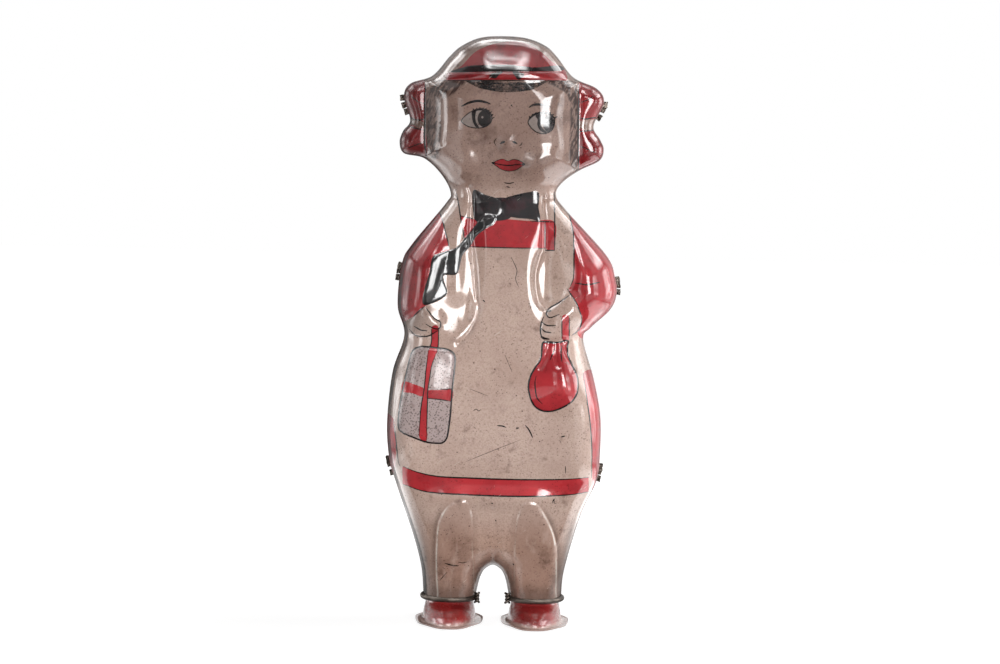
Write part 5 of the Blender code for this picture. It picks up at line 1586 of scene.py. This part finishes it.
# Studio: a white sweep, soft lamps, a dark room behind the camera, and dark cards under the front
# and behind the left edge
studio = {
    "fill": 0.10,
    "lights": {
        "key": {"at": (300, -560, 250), "aim": (0, 0, 110), "size": (200, 260), "power": 1.38},
        "low fill": {"at": (-40, -330, 25), "aim": (0, 0, 60), "size": (240, 110), "power": 0.80},
        "side fill": {"at": (420, 60, 110), "aim": (0, 0, 100), "size": (200, 380), "power": 2.0},
        "back fill": {"at": (-160, 560, 260), "aim": (0, 0, 105), "size": (360, 300), "power": 1.3},
    },
    # Panels seen only in the varnish: their turn from the camera, rise, distance, size, brightness, how dim
    # their dark blobs are, and the share of each half over which they fade
    "panels": {
        "front window": dict(turn=20, rise=9, distance=640, size=(310, 350), glow=24.0, dim=0.6, fade=0.3),
        "left window": dict(turn=-17, rise=8, distance=640, size=(150, 300), glow=7.0, dim=0.2, fade=0.4),
        "right strip": dict(turn=57, rise=4, distance=560, size=(220, 420), glow=8.5),
        "left strip": dict(turn=-57, rise=2, distance=560, size=(220, 420), glow=8.5),
        "right panel": dict(turn=101, rise=3, distance=460, size=(350, 460), glow=9.0),
        "left panel": dict(turn=-101, rise=3, distance=460, size=(320, 460), glow=9.0),
        "right floor": dict(turn=94, rise=-37, distance=198, size=(250, 420), glow=4.5, dim=0.5, flat=True),
        "left floor": dict(turn=-94, rise=-37, distance=198, size=(250, 420), glow=4.5, dim=0.5, flat=True),
        "top window": dict(turn=2, rise=52, distance=560, size=(330, 320), glow=20.0, dim=0.15, fade=0.4),
        "top panel": dict(turn=180, rise=78, distance=460, size=(500, 280), glow=12.0),
        "upper right panel": dict(turn=94, rise=46, distance=480, size=(400, 330), glow=14.0),
        "upper left panel": dict(turn=-94, rise=46, distance=480, size=(400, 330), glow=14.0),
    },
    "panelAim": (0, 0, 120),
    "panelBlobs": 110,
    "shade": {"at": (0, -665, 1.5), "across": (110, 0, 0), "along": (0, 638, 0), "tone": "#161616"},
    "flag": {"at": (-120, 260, 95), "across": (95, 0, 0), "along": (0, 0, 170), "tone": "#101010"},
    "room": {"at": (0, -1300, 300), "across": (1500, 0, 0), "along": (0, 0, 1200), "tone": "#1a1a1a"},
    "floor": {"at": (0, 0, -0.02), "across": (3000, 0, 0), "along": (0, 3000, 0), "tone": "#9b9b9b"},
    # The floor is white by itself away from the doll, and by the lamps near it, so that a soft shadow stays
    "floorGlow": {"near": 0.86, "far": 1.0, "from": 70, "to": 230},
}
white = (1, 1, 1, 1)


def addLight(name, settings):
    data = bpy.data.lights.new(name, "AREA")
    data.shape = "RECTANGLE"
    data.size, data.size_y = (side * mm for side in settings["size"])
    data.energy = settings["power"]
    light = addObject(name, data)
    at = Vector(toWorld(settings["at"]))
    aim = Vector(toWorld(settings["aim"])) - at
    light.matrix_world = Matrix.Translation(at) @ aim.to_track_quat("-Z", "Y").to_matrix().to_4x4()
    light.visible_camera = False
    light.visible_glossy = False


def addWorld():
    world = bpy.data.worlds.new("white sweep")
    scene.world = world
    world.use_nodes = True
    tree = world.node_tree
    add = partial(addNode, tree)
    path = add("ShaderNodeLightPath")
    seen = add("larger", path["Is Glossy Ray"], path["Is Transmission Ray"])
    strength = add("ramp", add("larger", path["Is Camera Ray"], seen), 0.0, 1.0, studio["fill"], 1.0)
    setInputs(tree, tree.nodes["Background"], {"Color": white, "Strength": strength})


def addStage(name, mesh, material):
    mesh.materials.append(material)
    card = addObject(name, mesh)
    return card


def addPanel(name, turn, rise, distance, size, glow, dim=0.3, fade=0.6, flat=False):
    # A glowing card that fades towards its edges and is broken up in blobs, as a cluttered studio is
    turn, rise = math.radians(turn), math.radians(rise)
    ahead = Vector((math.sin(turn) * math.cos(rise), -math.cos(turn) * math.cos(rise), math.sin(rise)))
    facing = Matrix.Translation(Vector(toWorld(Vector(studio["panelAim"]) + ahead * distance)))
    if not flat:
        facing = facing @ ahead.to_track_quat("Z", "Y").to_matrix().to_4x4()
    corners = ((-1, -1), (1, -1), (1, 1), (-1, 1))
    halfWide, halfHigh = (side * mm / 2 for side in size)
    mesh = bpy.data.meshes.new(name)
    places = [facing @ Vector((u * halfWide, v * halfHigh, 0)) for u, v in corners]
    mesh.from_pydata(places, [], [(0, 1, 2, 3)])
    material, finish, add, coords = newMaterial(name)
    strength = blotches(add, coords, studio["panelBlobs"], 2, 0.5, 0.38, 0.58, dim * glow, glow)
    for axis, values in zip(("across", "along"), zip(*corners)):
        data = mesh.attributes.new(axis, "FLOAT", "POINT").data
        data.foreach_set("value", [float(value) for value in values])
        fromMiddle = add("unsigned", add("attribute", attribute_name=axis))
        strength = add("times", strength, add("ramp", fromMiddle, 1 - fade, 1.0, 1.0, 0.0))
    finish({"Base Color": (0, 0, 0, 1), "Specular IOR Level": 0.0, "Emission Color": white,
            "Emission Strength": strength})
    return addStage(name, mesh, material)


def addCard(name, settings, glow=None):
    # A flat stage card given by its middle and two half sides
    middle, across, along = (np.array(settings[side], float) for side in ("at", "across", "along"))
    corners = [middle - across - along, middle + across - along,
               middle + across + along, middle - across + along]
    mesh = bpy.data.meshes.new(name)
    mesh.from_pydata([tuple(p) for p in toWorld(corners)], [], [(0, 1, 2, 3)])
    material, finish, add, coords = newMaterial(name)
    finish({"Base Color": hexColour(settings["tone"]), "Roughness": 0.9, "Specular IOR Level": 0.0})
    if glow:
        x, y = (add("power", place, 2.0) for place in add("split", coords)[:2])
        away = add("root", add("plus", x, y))
        lit = add("ramp", away, glow["from"] * mm, glow["to"] * mm, glow["near"], glow["far"])
        finish({"Emission Color": white, "Emission Strength": lit})
    return addStage(name, mesh, material)


addWorld()
for name, settings in studio["lights"].items():
    addLight(name, settings)
floor = addCard("pale_floor", studio["floor"], studio["floorGlow"])
floor.visible_diffuse = False
cards = [addCard("dark_" + name, studio[name]) for name in ("flag", "room", "shade")]
cards += [addPanel(name, **settings) for name, settings in studio["panels"].items()]
for card in cards:
    card.visible_camera = False
    card.visible_diffuse = False
    card.visible_shadow = False
print("studio lit")
